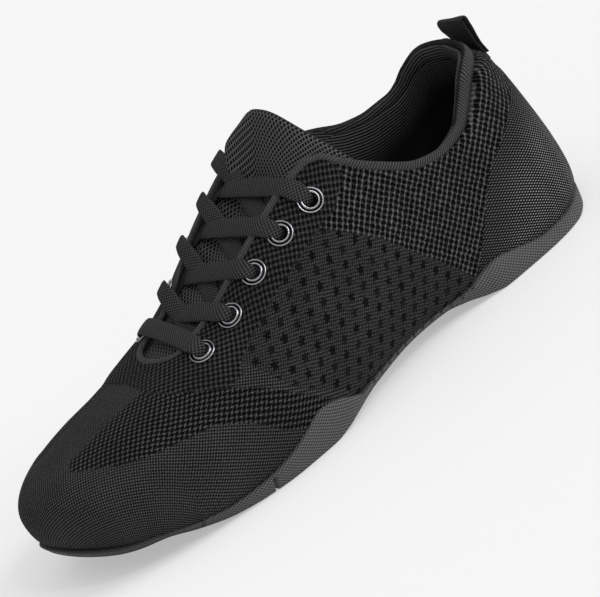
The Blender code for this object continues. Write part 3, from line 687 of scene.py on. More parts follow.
def ramp(value, low, high, to_low=0.0, to_high=1.0):
    """A smooth step of a value from low to high."""
    return add(value.id_data, "MapRange", {0: value, 1: low, 2: high, 3: to_low, 4: to_high},
               interpolation_type="SMOOTHSTEP")


def weighted(*terms, onto=None):
    """A sum of terms, each times its weight, on top of a value if one is given."""
    for term, weight in terms:
        onto = calc("MULTIPLY", term, weight) if onto is None else calc("MULTIPLY_ADD", term, weight, onto)
    return onto


def layered(tone, *layers):
    """Colours laid one over the other, each by its share."""
    for share, colour in layers:
        low, high = (linear(c) if isinstance(c, str) else c for c in (tone, colour))
        tone = add(share.id_data, "Mix", {0: share, 6: low, 7: high}, out=2, data_type="RGBA")
    return tone


def stitches(place, along, across, lean=0.0):
    """Staggered stitches with these full periods in millimetres: the product of two cosines, 1 at the middle
    of each stitch and -1 between them. The product of the sines leans them along a diagonal, every other row
    the other way. Gives the pattern and the cosine along."""
    first, second, _ = parts(move("MULTIPLY", place, (ROUND / along, ROUND / across, 0)))
    wave = calc("COSINE", first)
    other = calc("COSINE", second)
    pattern = calc("MULTIPLY", wave, other)
    if lean:
        slope = calc("MULTIPLY", calc("SINE", first), calc("SINE", second))
        pattern = weighted((calc("MULTIPLY", slope, other), lean), onto=pattern)
    return pattern, wave


def crossing(place, along, across):
    """Two sets of strands that cross at a slant, with these periods in millimetres: the cosines of the sum
    and of the difference of the turns along and across."""
    return [calc("COSINE", dot(place, (ROUND / along, way * ROUND / across, 0.0))) for way in (1.0, -1.0)]


def stray(place, spots, by):
    """A place moved along and across by random spots."""
    return move("MULTIPLY_ADD", move("SUBTRACT", spots, (0.5, 0.5, 0.5)), (by, by, 0.0), place)


def new_finish(name, constants):
    """A material with its shader's constant values set."""
    made = bpy.data.materials.new(name)
    made.use_nodes = True
    for place, value in constants.items():
        made.node_tree.nodes["Principled BSDF"].inputs[place].default_value = value
    return made


def dress(finish, tone, height=None, rough=None):
    """The finish with its colour, its height in millimetres as bump and its roughness linked."""
    tree = finish.node_tree
    inputs = tree.nodes["Principled BSDF"].inputs
    tree.links.new(tone, inputs["Base Color"])
    if height is not None:
        bump = add(tree, "Bump", {"Strength": 1.0, "Distance": MM, "Height": height})
        tree.links.new(bump, inputs["Normal"])
    if rough is not None:
        tree.links.new(rough, inputs["Roughness"])
    return finish


def knit_finish():
    """Flat-knit black polyester yarn. The machine changes stitch by zone: dense dots, plain, open honeycomb,
    round holes, star holes, coarse net, shiny dots. Threads look matt dark grey; the holes are painted near
    black as painted shade and the knots and dots pale as painted sheen."""
    made = new_finish("flat-knit polyester yarn, black", {"Specular IOR Level": 0.06})
    tree = made.node_tree
    true_flat = field(made, "flat")
    true_wrap = field(made, "wrap")
    in_wedge, in_stripe, in_stay = parts(field(made, "zones_front"))
    in_stars, in_net, in_heel = parts(field(made, "zones_back"))

    # yarn never lies quite true, so the open patterns wander by a quarter of a millimetre over a centimetre
    wander = noise(true_flat, 0.12, 2.0, out=1)
    flat = stray(true_flat, wander, 0.9)
    wrap = stray(true_wrap, wander, 0.9)

    # each zone gives the share of painted shade in its holes, height in millimetres, and the share of painted
    # sheen on its knots
    def zone(pattern, hole, height, painted_sheen):
        return gather(*(ramp(pattern, *span) for span in (hole, height, painted_sheen)))

    # dense dots: real stitches are 0.8 mm apart, drawn 1.0 mm apart so that they show
    dots, _ = stitches(true_flat, 1.5, 1.4)
    knit = zone(dots, (0.0, 0.8, 0.0, 0.7), (0.9, -0.6, -0.26, 0.0), (-0.2, -0.9, 0.0, 0.13))

    # smooth stripe: plain stitches 0.9 mm apart, barely open
    plain, _ = stitches(flat, 1.2, 1.5)
    smooth = zone(plain, (0.2, 0.95, 0.0, 0.3), (1.0, -1.0, -0.1, 0.0), (0.0, -1.0, 0.0, 0.055))

    # honeycomb: loops that lean both ways round slits 1.8 mm apart
    cells, _ = stitches(flat, 2.8, 2.4, 0.9)
    comb = zone(cells, (0.0, 0.55), (0.75, -0.75, -0.8, 0.15), (-0.25, -0.9, 0.0, 0.085))

    # eyestay: round holes 1.85 mm apart with a knot between every four
    holes, _ = stitches(flat, 2.6, 2.6)
    stay = zone(holes, (0.15, 0.6), (0.8, -0.7, -0.7, 0.1), (-0.3, -0.95, 0.0, 0.055))

    # coarse net: strands that cross at a slant round holes 2.1 mm apart, with a painted highlight where one
    # lies over the other
    strands = crossing(stray(wrap, noise(wrap, 0.7, 1.0, out=1), 1.3), 3.0, 3.0)
    net = calc("MAXIMUM", *strands)
    painted_crossing_sheen = calc("MULTIPLY", ramp(strands[0], 0.2, 0.95),
                 ramp(strands[1], -0.6, 0.7, 0.03, 0.145))
    mesh = gather(ramp(net, 0.6, 0.1), ramp(net, -0.4, 0.9, -0.8, 0.2), painted_crossing_sheen)

    # star holes in two sets on dense knit, five-armed, their edges broken by the stitches round them; a cell
    # of the lattice runs 9.1 mm along and 6.6 mm down, leaning, and the set at its middle is fainter
    fine, _ = stitches(flat, 1.5, 1.35)
    ragged = noise(flat, 0.9, 1.0)
    lattice = gather(dot(flat, (0.1035, 0.0581, 0.0)), dot(flat, (-0.0158, 0.1438, 0.0)))
    spots = []
    for shift, depth in (((-0.059, -0.132, 0.0), 0.92), ((0.441, 0.368, 0.0), 0.75)):
        cell = move("SUBTRACT", move("FRACTION", move("ADD", lattice, shift)), (0.5, 0.5, 0.0))
        aside = dot(cell, (9.1, -3.68, 0.0))
        ahead = dot(cell, (1.0, 6.55, 0.0))
        away = add(tree, "VectorMath", {0: gather(aside, ahead)}, out=1, operation="LENGTH")
        arms = calc("COSINE", calc("MULTIPLY_ADD", calc("ARCTAN2", aside, ahead), 5.0, 0.6))
        away = weighted((arms, -0.38), (fine, -0.25), (ragged, -1.3), onto=away)
        spots.append(ramp(away, 0.85, 0.4, 0.0, depth))
    hole = calc("MAXIMUM", *spots)
    star = gather(calc("MAXIMUM", hole, ramp(fine, 0.0, 0.9, 0.0, 0.7)),
                  weighted((hole, -1.0), onto=ramp(fine, 1.0, -0.6, -0.2, 0.0)),
                  ramp(fine, -0.3, -1.0, 0.0, 0.075))

    # heel: raised glossy dots 1.2 mm apart with painted sheen that fades toward the front edge of the panel,
    # and painted shade near black between them
    beads, _ = stitches(true_wrap, 2.3, 1.2)
    strong = ramp(in_heel, 0.5, 24.0, 0.25, 1.0)
    bright = calc("MULTIPLY", ramp(beads, 0.25, 0.85), strong)
    between = ramp(beads, 0.3, -0.4)
    heel = gather(weighted((between, 0.9)), weighted((bright, 0.25)), weighted((bright, 0.62)))

    for inside, soft, other in ((in_wedge, 0.6, comb), (in_stripe, 2.2, smooth), (in_stay, 0.6, stay),
                                (in_net, 0.8, mesh), (in_stars, 0.5, star), (in_heel, 0.4, heel)):
        share = ramp(inside, -soft, soft)
        knit = add(tree, "Mix", {0: share, 4: knit, 5: other}, out=1, data_type="VECTOR")
    hole, height, painted_sheen = parts(knit)

    # yarn 0.6 mm across turns in and out of the light, and tension changes over a few centimetres
    fluff = ramp(noise(flat, 1.5, 2.0), 0.25, 0.75)
    shade = ramp(noise(flat, 0.05, 1.0), 0.3, 0.7, 0.88, 1.08)
    # painted shade: the holes near black; painted sheen: the knots and dots pale grey
    tone = layered("#101011", (fluff, "#373738"), (painted_sheen, "#c8c8ca"), (hole, "#020202"))
    tone = add(tree, "Mix", {0: 1.0, 6: tone, 7: shade}, out=2, data_type="RGBA", blend_type="MULTIPLY")
    return dress(made, tone, weighted((fluff, 0.1), onto=height), ramp(painted_sheen, 0.0, 1.0, 0.82, 0.42))


def lining_finish():
    """Rib-knit tricot lining. Ribs 1.25 mm apart run along the topline and catch the light on their crowns;
    further down the lining is a plain dark cloth."""
    made = new_finish("rib-knit tricot lining, black", {"Roughness": 0.88, "Specular IOR Level": 0.08})
    below = field(made, "below")
    depth = parts(below)[0]
    rib = calc("COSINE", weighted((depth, ROUND / 1.25)))
    plain = ramp(depth, 7.0, 20.0)
    # the rib crowns are painted paler: a painted highlight
    tone = layered("#0e0e0e", (ramp(rib, -0.9, 0.7), "#5c5c5d"), (noise(below, 2.0, 2.0), "#3c3c3d"),
                   (plain, "#1a1a1a"))
    rib = calc("MULTIPLY", rib, ramp(plain, 0.0, 1.0, 1.0, 0.1))
    return dress(made, tone, weighted((rib, 0.2)))


def roll_finish():
    """Rib-knit collar edge turned over a foam roll. Slanting ribs with a soft satin, their crowns painted
    paler as painted sheen; along the throat the same cloth is pulled flat and the ribs almost vanish."""
    made = new_finish("rib-knit collar tape, turned and sewn", {"Specular IOR Level": 0.1})
    measure = field(made, "measure")
    # ribs 0.9 mm apart, drawn 1.15 mm apart so that they show; some run along the topline, the others slant
    # across the edge
    rib = calc("COSINE", dot(measure, (ROUND / 7.0, ROUND / 1.2, 0.0)))
    cross = calc("COSINE", dot(measure, (ROUND / 1.15, ROUND / 2.4, 0.0)))
    rib = add(made.node_tree, "Mix", {0: field(made, "outside", out=2), 2: rib, 3: cross})
    rib = calc("MULTIPLY", rib, ramp(parts(measure)[2], 0.0, 1.0, 1.0, 0.35))
    fluff = noise(measure, 1.6, 2.0)
    tone = layered("#0e0e0e", (ramp(rib, -1.0, 0.9), "#606061"), (fluff, "#2b2b2c"))
    return dress(made, tone, weighted((rib, 0.13)), ramp(fluff, 0.2, 0.8, 0.68, 0.85))


def mesh_finish():
    """Warp-knit spacer mesh over foam. Open diamonds longer than wide; raised cords between them are matt."""
    made = new_finish("warp-knit spacer mesh, black", {"Specular IOR Level": 0.1})
    measure = field(made, "measure")
    # cords cross at a slant and leave diamonds 2.7 mm long and 1.9 mm wide
    cords = calc("MAXIMUM", *crossing(measure, 2.7, 1.9))
    fluff = noise(measure, 2.4, 2.0)
    # the open diamonds are painted near black as painted shade
    tone = layered("#3c3c3d", (fluff, "#646465"), (ramp(cords, 0.6, 0.15), "#050505"))
    height = weighted((fluff, 0.06), onto=ramp(cords, -0.2, 0.9, -0.6, 0.15))
    return dress(made, tone, height, ramp(fluff, 0.2, 0.8, 0.7, 0.9))


def rubber_finish():
    """Moulded rubber, matt from a blasted mould with fine crossed lines cut into it, scuffed a little paler,
    and painted darker toward the rim of the toe as painted shade."""
    made = new_finish("moulded rubber, fine lined, dark grey", {"Specular IOR Level": 0.25})
    # lines 0.9 mm apart, drawn 1.3 mm apart so that they show
    lines, _ = stitches(field(made, "measure"), 1.7, 1.35)
    place = object_place(made)
    worn = ramp(noise(place, 60.0, 4.0), 0.55, 0.75, 0.0, 0.25)
    grain = noise(place, 2200.0, 2.0)
    # painted shade: darker toward the toe, standing in for its contact shadow
    toe = ramp(parts(place)[0], 0.06, 0.11, 0.0, 0.6)
    ridge = ramp(lines, -0.7, 0.7)
    tone = layered("#262626", (ridge, "#626262"), (worn, "#525251"), (toe, "#1e1e1e"))
    height = weighted((lines, 0.14), (grain, 0.05))
    return dress(made, tone, height, ramp(grain, 0.3, 0.7, 0.55, 0.75))


def lace_finish():
    """Flat woven polyester lace. Fine ribs cross it, and the yarn has a dull satin; its crowns are painted
    paler as painted sheen.
    """
    made = new_finish("flat woven polyester lace, black", {"Specular IOR Level": 0.12})
    measure = field(made, "measure")
    # weave 0.6 mm apart, drawn 0.95 mm apart so that it shows
    weave, rib = stitches(measure, 1.3, 1.7)
    fluff = noise(measure, 2.5, 3.0)
    loose = ramp(fluff, 0.3, 0.7, 0.0, 0.5)
    tone = layered("#060607", (ramp(weave, -0.6, 0.7), "#48484a"), (loose, "#222223"))
    return dress(made, tone, weighted((weave, 0.1), (rib, 0.03)), ramp(fluff, 0.2, 0.8, 0.62, 0.8))


def webbing_finish():
    """Grosgrain webbing. Round cross ribs 1.1 mm apart, woven tight, a dull satin."""
    made = new_finish("woven grosgrain webbing, black", {"Specular IOR Level": 0.12})
    measure = field(made, "measure")
    weave, rib = stitches(measure, 1.1, 1.8)
    fluff = noise(measure, 2.0, 3.0)
    tone = layered("#1c1c1d", (ramp(rib, -0.9, 0.9), "#353536"), (fluff, "#2a2a2b"))
    return dress(made, tone, weighted((rib, 0.08), (weave, 0.04)), ramp(fluff, 0.2, 0.8, 0.6, 0.8))


def eyelet_finish():
    """Pressed brass with black nickel plate, tumbled smooth. It mirrors the lamps in thin bright rings; the
    groove between them, the hole and the underside are painted near black as painted shade. It shows faint
    wear."""
    made = new_finish("pressed brass, black nickel plate", {"Metallic": 1.0})
    wear = noise(object_place(made), 700.0, 3.0)
    tone = layered("#8a8a8e", (wear, "#b0b0b4"), (field(made, "painted_shade", out=2), "#0a0a0b"))
    return dress(made, tone, weighted((wear, 0.02)), ramp(wear, 0.2, 0.8, 0.14, 0.24))


def insole_finish():
    """Brushed tricot over foam. A short nap hides the stitches and breaks up the light; no gloss."""
    made = new_finish("brushed tricot over foam, black", {"Roughness": 0.95, "Specular IOR Level": 0.2})
    measure = field(made, "measure")
    rows, _ = stitches(measure, 1.6, 1.6)
    nap = noise(measure, 1.5, 4.0)
    height = weighted((rows, 0.06), onto=nap)
    return dress(made, layered("#151516", (nap, "#333334")), weighted((height, 0.2)))


def floor_finish():
    """Opal acrylic board lit from below as on a photographer's table, so shadows on it stay pale; a trace of
    unevenness in the sheet."""
    made = new_finish("opal acrylic board, lit from below", {
        "Roughness": 0.95, "Specular IOR Level": 0.0,
        "Emission Color": (1, 1, 1, 1), "Emission Strength": 0.4})
    return dress(made, layered("#bdbdbd", (noise(object_place(made), 3.0, 2.0), "#bfbfbf")))


# Pieces

def body_stations(step):
    """Stations along the foot from the toe pole to the heel pole, close round the throat's base."""
    base_turn = np.linspace(0, QUARTER, 15)
    rest = THROAT_BASE - THROAT_ROUND
    count = int((rest - HEEL_POLE) / step) + 1
    return np.concatenate([
        np.linspace(TOE_POLE, THROAT_BASE, int((TOE_POLE - THROAT_BASE) / step) + 1)[:-1],
        THROAT_BASE - THROAT_ROUND * (1 - np.cos(base_turn)),
        np.linspace(rest, HEEL_POLE, count)[1:],
    ])


def spread_rows(foot, spine, top, rows):
    """Places up each rib, from its feather edge to its top, closer together toward the top."""
    v = -1 + (top[:, None] + 1) * np.linspace(0, 1, 201)
    length = run_length(last_point(foot[:, None], spine[:, None], v))
    return by_row(1 - (1 - np.linspace(0, 1, rows)) ** 1.3, length / length[:, -1:], v)


def down_from_ridge(foot, spine, v):
    """Distance along each rib from the ridge down to v."""
    full = np.tile(np.linspace(1, -1, 301), (len(foot), 1))
    length = run_length(last_point(foot[:, None], spine[:, None], full))
    return by_row(-v, -full, length)


def wall_thickness(points, side):
    """Knit and lining, thicker at the top of the heel collar where it is padded."""
    below = collar_height(points[..., 0], side) - points[..., 2]
    depth = 1 - ease(below, 0.0, PAD_DEPTH)
    behind = 1 - ease(points[..., 0], PAD_FULL_X, PAD_END_X)
    return WALL + (PADDED_WALL - WALL) * depth * behind


def build_upper():
    """Knit shell: an outer grid on the last with soft relief, the same grid moved in by the wall, joined
    along the feather edge and the opening's rim, with the eyelet holes walled. Gives the rim's outer line
    and the lining from the rim down."""
    rows = 62
    spacing = 1.25
    body = body_stations(spacing)
    foot, spine = ribs(body, HEEL_FAN, TOE_FAN)
    top = edge_height(foot, spine)
    v = spread_rows(foot, spine, top, rows)
    ring = len(foot)
    total = ring * rows
    plain = last_point(foot[:, None], spine[:, None], v)
    side = np.where(plain[..., 1] > ridge_y(plain[..., 0]), 1.0, -1.0)

    # patterns are laid out on the knit unrolled from the ridge, and round the heel by girth and height
    down = down_from_ridge(foot, spine, v)
    direction = unit(foot - spine)
    flat_x = spine[:, :1] + down * direction[:, :1]
    flat_y = down * direction[:, 1:]
    girth = run_length(foot)
    back = len(body) + HEEL_FAN // 2
    girth = np.tile((girth[back] - girth)[:, None], (1, rows))
    up = down_from_ridge(foot, spine, np.zeros((ring, 1))) - down
    below = down - down[:, -1:]

    stretch = np.where(flat_y < 0, monotone(INNER_STRETCH, flat_x)[..., 0], 1.0)
    signed = np.stack([flat_x, flat_y * stretch], axis=-1).reshape(-1, 2)
    folded = np.abs(signed) * (0, 1) + signed * (1, 0)
    around = np.stack([np.abs(girth), plain[..., 2]], axis=-1).reshape(-1, 2)
    wedge, stay, stars, net = (inside_by(folded, z) for z in (WEDGE, EYESTAY, STARS, COLLAR_MESH))
    stripe = inside_by(signed, STRIPE)
    heel = inside_by(around, HEEL)

    # relief: the eyestay and heel are thicker knit, the open zones thinner, and the cloth is never quite even
    shape = (ring, rows)
    lift = (0.35 * ease(stay, -2, 2) + 0.4 * ease(heel, -1.5, 1.5)
            - 0.25 * ease(wedge, -1.5, 1.5) - 0.12 * ease(stars, -2, 2)).reshape(shape)
    lift = lift + 0.12 * np.sin(flat_x / 9.0 + 1.3 * np.sin(flat_y / 13.0)) * np.sin(flat_y / 11.0)
    # two soft creases where the forefoot bends
    for crease, depth in ((63.0, 0.35), (72.0, 0.25)):
        bend = crease + 0.004 * flat_y ** 2 - flat_x
        lift = lift - depth * np.exp(-(bend / 3.2) ** 2) * ease(np.abs(flat_y), 14, 34)
    lift = lift * ease(up, -14.0, -4.0)
    # the knit turns in over the padded top of the heel, a quarter round
    turn_in = SHOULDER * (1 - ease(plain[..., 0], PAD_FULL_X, PAD_END_X))
    lift = lift - turn_in + np.sqrt(turn_in ** 2 - np.clip(turn_in - below, 0, None) ** 2)
    holes = np.zeros(shape, bool)
    for row in range(EYELET_ROWS):
        for hand in (1, -1):
            centre = instep(*eyelet_place(row, hand))
            away = np.linalg.norm(plain - centre, axis=-1)
            lift = lift - 0.3 * np.exp(-(away / 6.0) ** 2)
            holes |= away < EYELET_HOLE_RADIUS

    outer = last_point(foot[:, None], spine[:, None], v, lift)
    wall = wall_thickness(plain, side)
    inner = last_point(foot[:, None], spine[:, None], v, -wall)
    number = np.arange(total).reshape(shape)
    skin = grid_quads(ring, rows, closed=True)
    drop = holes.ravel()[skin].sum(axis=1) >= 3
    cut = skin[drop]
    skin = skin[~drop]
    under = skin[:, ::-1] + total
    # the holes' walls stand on edges of dropped quads that a kept quad shares
    edges = np.stack([cut, np.roll(cut, -1, axis=1)], axis=-1).reshape(-1, 2)
    key = edges.min(axis=1) * total + edges.max(axis=1)
    _, where, count = np.unique(key, return_index=True, return_counts=True)
    rims = edges[where[count == 1]]
    hole_walls = np.column_stack([rims[:, ::-1] + total, rims])
    loop = np.append(number[:, 0], number[0, 0])
    feather = strip_quads(loop + total, loop)
    first = int(np.argmin(np.abs(body - THROAT_BASE)))
    last = 2 * len(body) + HEEL_FAN - 1 - first
    edge = number[first:last + 1, -1]
    rim = strip_quads(edge, edge + total)
    # knit is finish 0 and lining is finish 1
    sheets = (skin, under, hole_walls, feather, rim)
    quads = np.concatenate(sheets)
    worn = np.repeat((0, 1, 1, 0, 1), [len(sheet) for sheet in sheets])

    zero = np.zeros(shape)

    def both(*columns):
        one = np.stack([np.asarray(c).reshape(shape) for c in columns], axis=-1).reshape(-1, len(columns))
        return np.concatenate([one, one])

    fields = {
        "flat": both(flat_x, np.abs(flat_y), zero),
        "wrap": both(girth, up, zero),
        "below": both(below, girth, zero),
        "zones_front": both(wedge, stripe, stay),
        "zones_back": both(stars, net, heel),
    }
    points = np.concatenate([outer.reshape(-1, 3), inner.reshape(-1, 3)])
    upper = new_piece("knit_upper", points, quads, (KNIT, LINING), fields, worn)
    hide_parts("upper")
    return outer[first:last, -1], inner[first:last, ::-1]


def build_collar(rim_outer, lining):
    """Turned edge round the whole opening: a rounded profile over the rim, carried along it, that runs on
    down the lining inside and sinks into it, far down the padded heel and at once along the throat."""
    rim_inner = lining[:, 0]
    centre = (rim_outer + rim_inner) / 2
    heel = 1 - ease(centre[:, 0], PAD_FULL_X, PAD_END_X)
    throat = ease(centre[:, 0], *ROLL_THROAT_X)
    back = 1 - ease(centre[:, 0], *ROLL_BACK_X)
    # on the outer half the roll is fuller inside, and thins slowly toward the front
    near = ease(centre[:, 1], -6, 8)
    thinned = 1 - ease(centre[:, 0], *ROLL_SWELL_X)
    swell = ROLL_SWELL_NEAR * near * thinned + ROLL_SWELL_BACK * (1 - near) * back
    half_height = ROLL_HALF_HEIGHT + 1.0 * heel - 0.2 * throat + ROLL_BACK_RISE * back
    depth = 3.0 + (1 - throat) * (5.0 + 11.0 * heel)
    foot = np.hstack([by_row(depth[:, None], run_length(lining), lining[..., k]) for k in range(3)])
    columns = np.column_stack([centre, rim_outer - rim_inner, back, heel, throat, half_height, swell, foot])
    closed = np.vstack([columns, columns[:1]])
    run = run_length(closed[:, :3])
    even = np.linspace(0, run[-1], ROLL_STATIONS, endpoint=False)
    columns = np.column_stack([np.interp(even, run, column) for column in closed.T])
    centre = columns[:, :3]
    rim = columns[:, 3:6]
    back, heel, throat, half_height, swell = columns[:, 6:11].T
    # over the heel the roll stands upright, whatever the slope of the rim
    out = unit(rim * np.stack([1 + 0 * heel, 1 + 0 * heel, 1 - heel], axis=1))
    wall = (rim * out).sum(axis=1)
    foot = columns[:, 11:]

    tangent = unit(np.roll(centre, -1, axis=0) - np.roll(centre, 1, axis=0))
    up = unit(np.cross(tangent, out))
    sideways = unit(np.cross(up, tangent))
    centre = centre + up * (rim * up).sum(axis=1, keepdims=True) / 2
    stand_in = 0.12 + 0.45 * throat + swell
    stand_out = 0.55 + 0.05 * throat - 0.1 * heel
    half_width = wall / 2 + (stand_out + stand_in) / 2
    centre = centre + out * ((stand_out - stand_in) / 2)[:, None]
    # the roll's arc starts under its outer side, goes over the top and ends at its inner side
    turn = np.radians(np.linspace(-70, 180, 22))
    across, lift = squared(np.cos(turn), ROLL_POWER), squared(np.sin(turn), ROLL_POWER)
    over = (0.45 + ROLL_BACK_RISE * back)[:, None]
    arc = (centre[:, None] + sideways[:, None] * (half_width[:, None] * across)[..., None]
           + up[:, None] * (half_height[:, None] * (lift - 1) + over)[..., None])
    # the inner side hangs straight down from the roll, then leans into the lining
    t = np.linspace(0, 1, 13)[1:, None]
    start = arc[:, -1]
    foot = foot + out * 0.4
    hang = start - up * (0.45 * np.linalg.norm(foot - start, axis=1))[:, None]
    skirt = (1 - t) ** 2 * start[:, None] + 2 * t * (1 - t) * hang[:, None] + t ** 2 * foot[:, None]
    sunk = skirt[:, ::-4] + out[:, None] * ROLL_SUNK
    rings = np.concatenate([arc, skirt, sunk], axis=1)
    around = rings.shape[1]
    corner = np.arange(len(rings) * around).reshape(-1, around)
    after = np.roll(corner, -1, axis=0)
    quads = np.stack([corner, after, np.roll(after, -1, axis=1), np.roll(corner, -1, axis=1)], axis=-1)
    girth = run_length(np.concatenate([rings, rings[:, :1]], axis=1))[:, :-1]
    measure = np.stack([even[:, None] + 0 * girth, girth, throat[:, None] + 0 * girth], axis=-1)
    outside = np.zeros(girth.shape)
    outside[:, :len(turn)] = ease(across, 0.5, 0.7)
    # on the outer half of the opening the slanting ribs run on down inside
    outside = np.maximum(outside, ease(centre[:, 1], -1.0, 4.0)[:, None])
    roll = new_piece("collar_roll", rings, quads.reshape(-1, 4), (ROLL,),
                     {"measure": measure, "outside": outside})


def build_sole():
    """Rubber sole: closed profiles along the ribs. Each runs out along the tread, round the edge, up the
    bulged wall, over the lip, down beside the upper and back along the floor."""
    slit_x = 58.0
    slit_half = 0.55
    slit_in, slit_up = 3.0, 1.8
    gap = 0.05
    rounding = 1.1
    wall_bulge = 0.45
    least_wall = 1.7
    lip_width, lip_drop = 0.55, 0.35
    notch_pitch, notch_depth = 5.0, 0.9
    slit_edges = slit_x + np.array([slit_half + 0.25, slit_half, 0.0, -slit_half, -slit_half - 0.25])
    arch = np.linspace(12, -58, 141)
    body = np.concatenate([np.linspace(TOE_POLE, slit_edges[0] + 1, 22), slit_edges,
                           np.linspace(slit_edges[-1] - 1, 13, 38), arch, np.linspace(-59, HEEL_POLE, 32)])
    foot, spine = ribs(body, HEEL_FAN, TOE_FAN)
    length, direction = rib_arms(foot, spine)
    table = monotone(SOLE, foot[:, 0])
    wall_top, stand_bottom, stand_top = table[:, 1], table[:, 2], table[:, 3]
    section = monotone(SECTIONS, foot[:, 0])
    feather, widest = section[:, 2], section[:, 3]
    sunk = np.clip((widest - wall_top) / (widest - feather), 0, 1)
    wall_v = -np.arcsin(sunk) / QUARTER
    inner_v = wall_v[:, None] + (-1 - wall_v[:, None]) * np.linspace(0, 1, 6)
    inner = last_point(foot[:, None], spine[:, None], inner_v, gap)
    lip_inner = ((inner[:, 0, :2] - spine) * direction).sum(axis=1) - length
    lip_outer = np.maximum(stand_top, lip_inner + lip_width)

    # notches cut the lip of the thin arch web
    in_arch = ease(foot[:, 0], -56, -50) * (1 - ease(foot[:, 0], 4, 10))
    notch = ease(np.cos(ROUND * foot[:, 0] / notch_pitch), 0.72, 0.86) * in_arch

    def at(stand, z=None, share=1.0):
        xy = spine + direction * ((length + stand) * share)[:, None]
        if z is None:
            z = monotone(SOLE, xy[:, 0])[:, 0]
        return np.column_stack([xy, z])

    edge_z = at(stand_bottom)[:, 2]
    tread = [at(stand_bottom - rounding * 0.6, share=s) for s in (0.0, 0.3, 0.55, 0.75, 0.9, 1.0)]
    turn = np.linspace(0.25, 1, 4) * QUARTER
    corner = [at(stand_bottom - 0.6 * rounding + rounding * math.sin(a),
                 edge_z + rounding * (1 - math.cos(a))) for a in turn]
    lip_z = np.maximum(inner[:, 0, 2] - lip_drop, edge_z + least_wall) - notch_depth * notch
    from_stand = stand_bottom + 0.4 * rounding
    from_z = edge_z + rounding
    bulge = wall_bulge * ease(lip_z - from_z, 1.0, 6.0)
    wall = [at(from_stand + (lip_outer - from_stand) * t + bulge * math.sin(math.pi * t),
               from_z + (lip_z - lip_drop - from_z) * t) for t in np.linspace(0.12, 0.98, 9)]
    lip = [at(lip_outer - 0.12 - 0.5 * notch, lip_z - 0.1),
           at(lip_outer - 0.4 - 0.6 * notch, lip_z + 0.02),
           at(lip_outer - 0.75 - 0.25 * notch, lip_z + 0.08)]
    floor = np.column_stack([spine, monotone(SECTIONS, spine[:, 0])[:, 2] - 0.3])
    half_floor = (inner[:, -1] + floor) / 2
    profile = tread + corner + wall + lip + [inner[:, k] for k in range(inner.shape[1])] + [half_floor, floor]
    points = np.stack(profile, axis=1)

    # flex slit: the tread rises and the wall sinks in between its two edges, low on the wall only
    in_slit = (np.abs(np.stack([foot, spine])[..., 0] - slit_x) < slit_half + MERGE).all(axis=0)
    outside = len(tread) + len(corner) + len(wall)
    low = 1 - ease(points[:, :outside, 2], 5.2, 6.0)
    sink = in_slit[:, None] * low
    on_wall = np.arange(outside) >= len(tread) - 1
    points[:, :outside, :2] -= direction[:, None] * (sink * on_wall * slit_in)[..., None]
    points[:, :outside, 2] += sink * ~on_wall * slit_up

    quads = grid_quads(*points.shape[:2], closed=True)
    girth = run_length(points)
    measure = np.stack([run_length(foot)[:, None] + 0 * girth, girth, 0 * girth], axis=-1)
    sole = new_piece("rubber_sole", points, quads, (RUBBER,), {"measure": measure})
    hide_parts("outsole")


def build_insole():
    """Foam footbed: rings from the underside's middle out to a rounded edge and back over a gently cupped
    top."""
    foot, spine = ribs(np.linspace(TOE_POLE, HEEL_POLE, 121), 61, 61)
    length, direction = rib_arms(foot, spine)
    edge = length - monotone(SECTIONS, foot[:, 0])[:, 1] - WALL - 0.6
    thick = 3.5
    round_under, round_top = 0.5, 1.3

    def at(distance, over):
        xy = spine + direction * distance[:, None]
        return np.column_stack([xy, monotone(SECTIONS, xy[:, 0])[:, 2] + over])

    turn = np.linspace(0, QUARTER, 5)
    rows = [at(edge * s, 0.0) for s in (0.0, 0.35, 0.7, 0.95)]
    rows += [at(edge - round_under + round_under * math.sin(a), round_under - round_under * math.cos(a))
             for a in turn]
    rows += [at(edge - round_top + round_top * math.cos(a), thick - round_top + round_top * math.sin(a))
             for a in turn]
    rows += [at(edge * s - round_top * s, thick - 0.5 * (1 - s * s) * (0.4 + 0.6 * s))
             for s in np.linspace(0.93, 0.0, 9)]
    points = np.stack(rows, axis=1)
    quads = grid_quads(*points.shape[:2], closed=True)
    measure = points * (1, 1, 0)
    insole = new_piece("footbed", points, quads, (INSOLE,), {"measure": measure})
    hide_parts("insole")


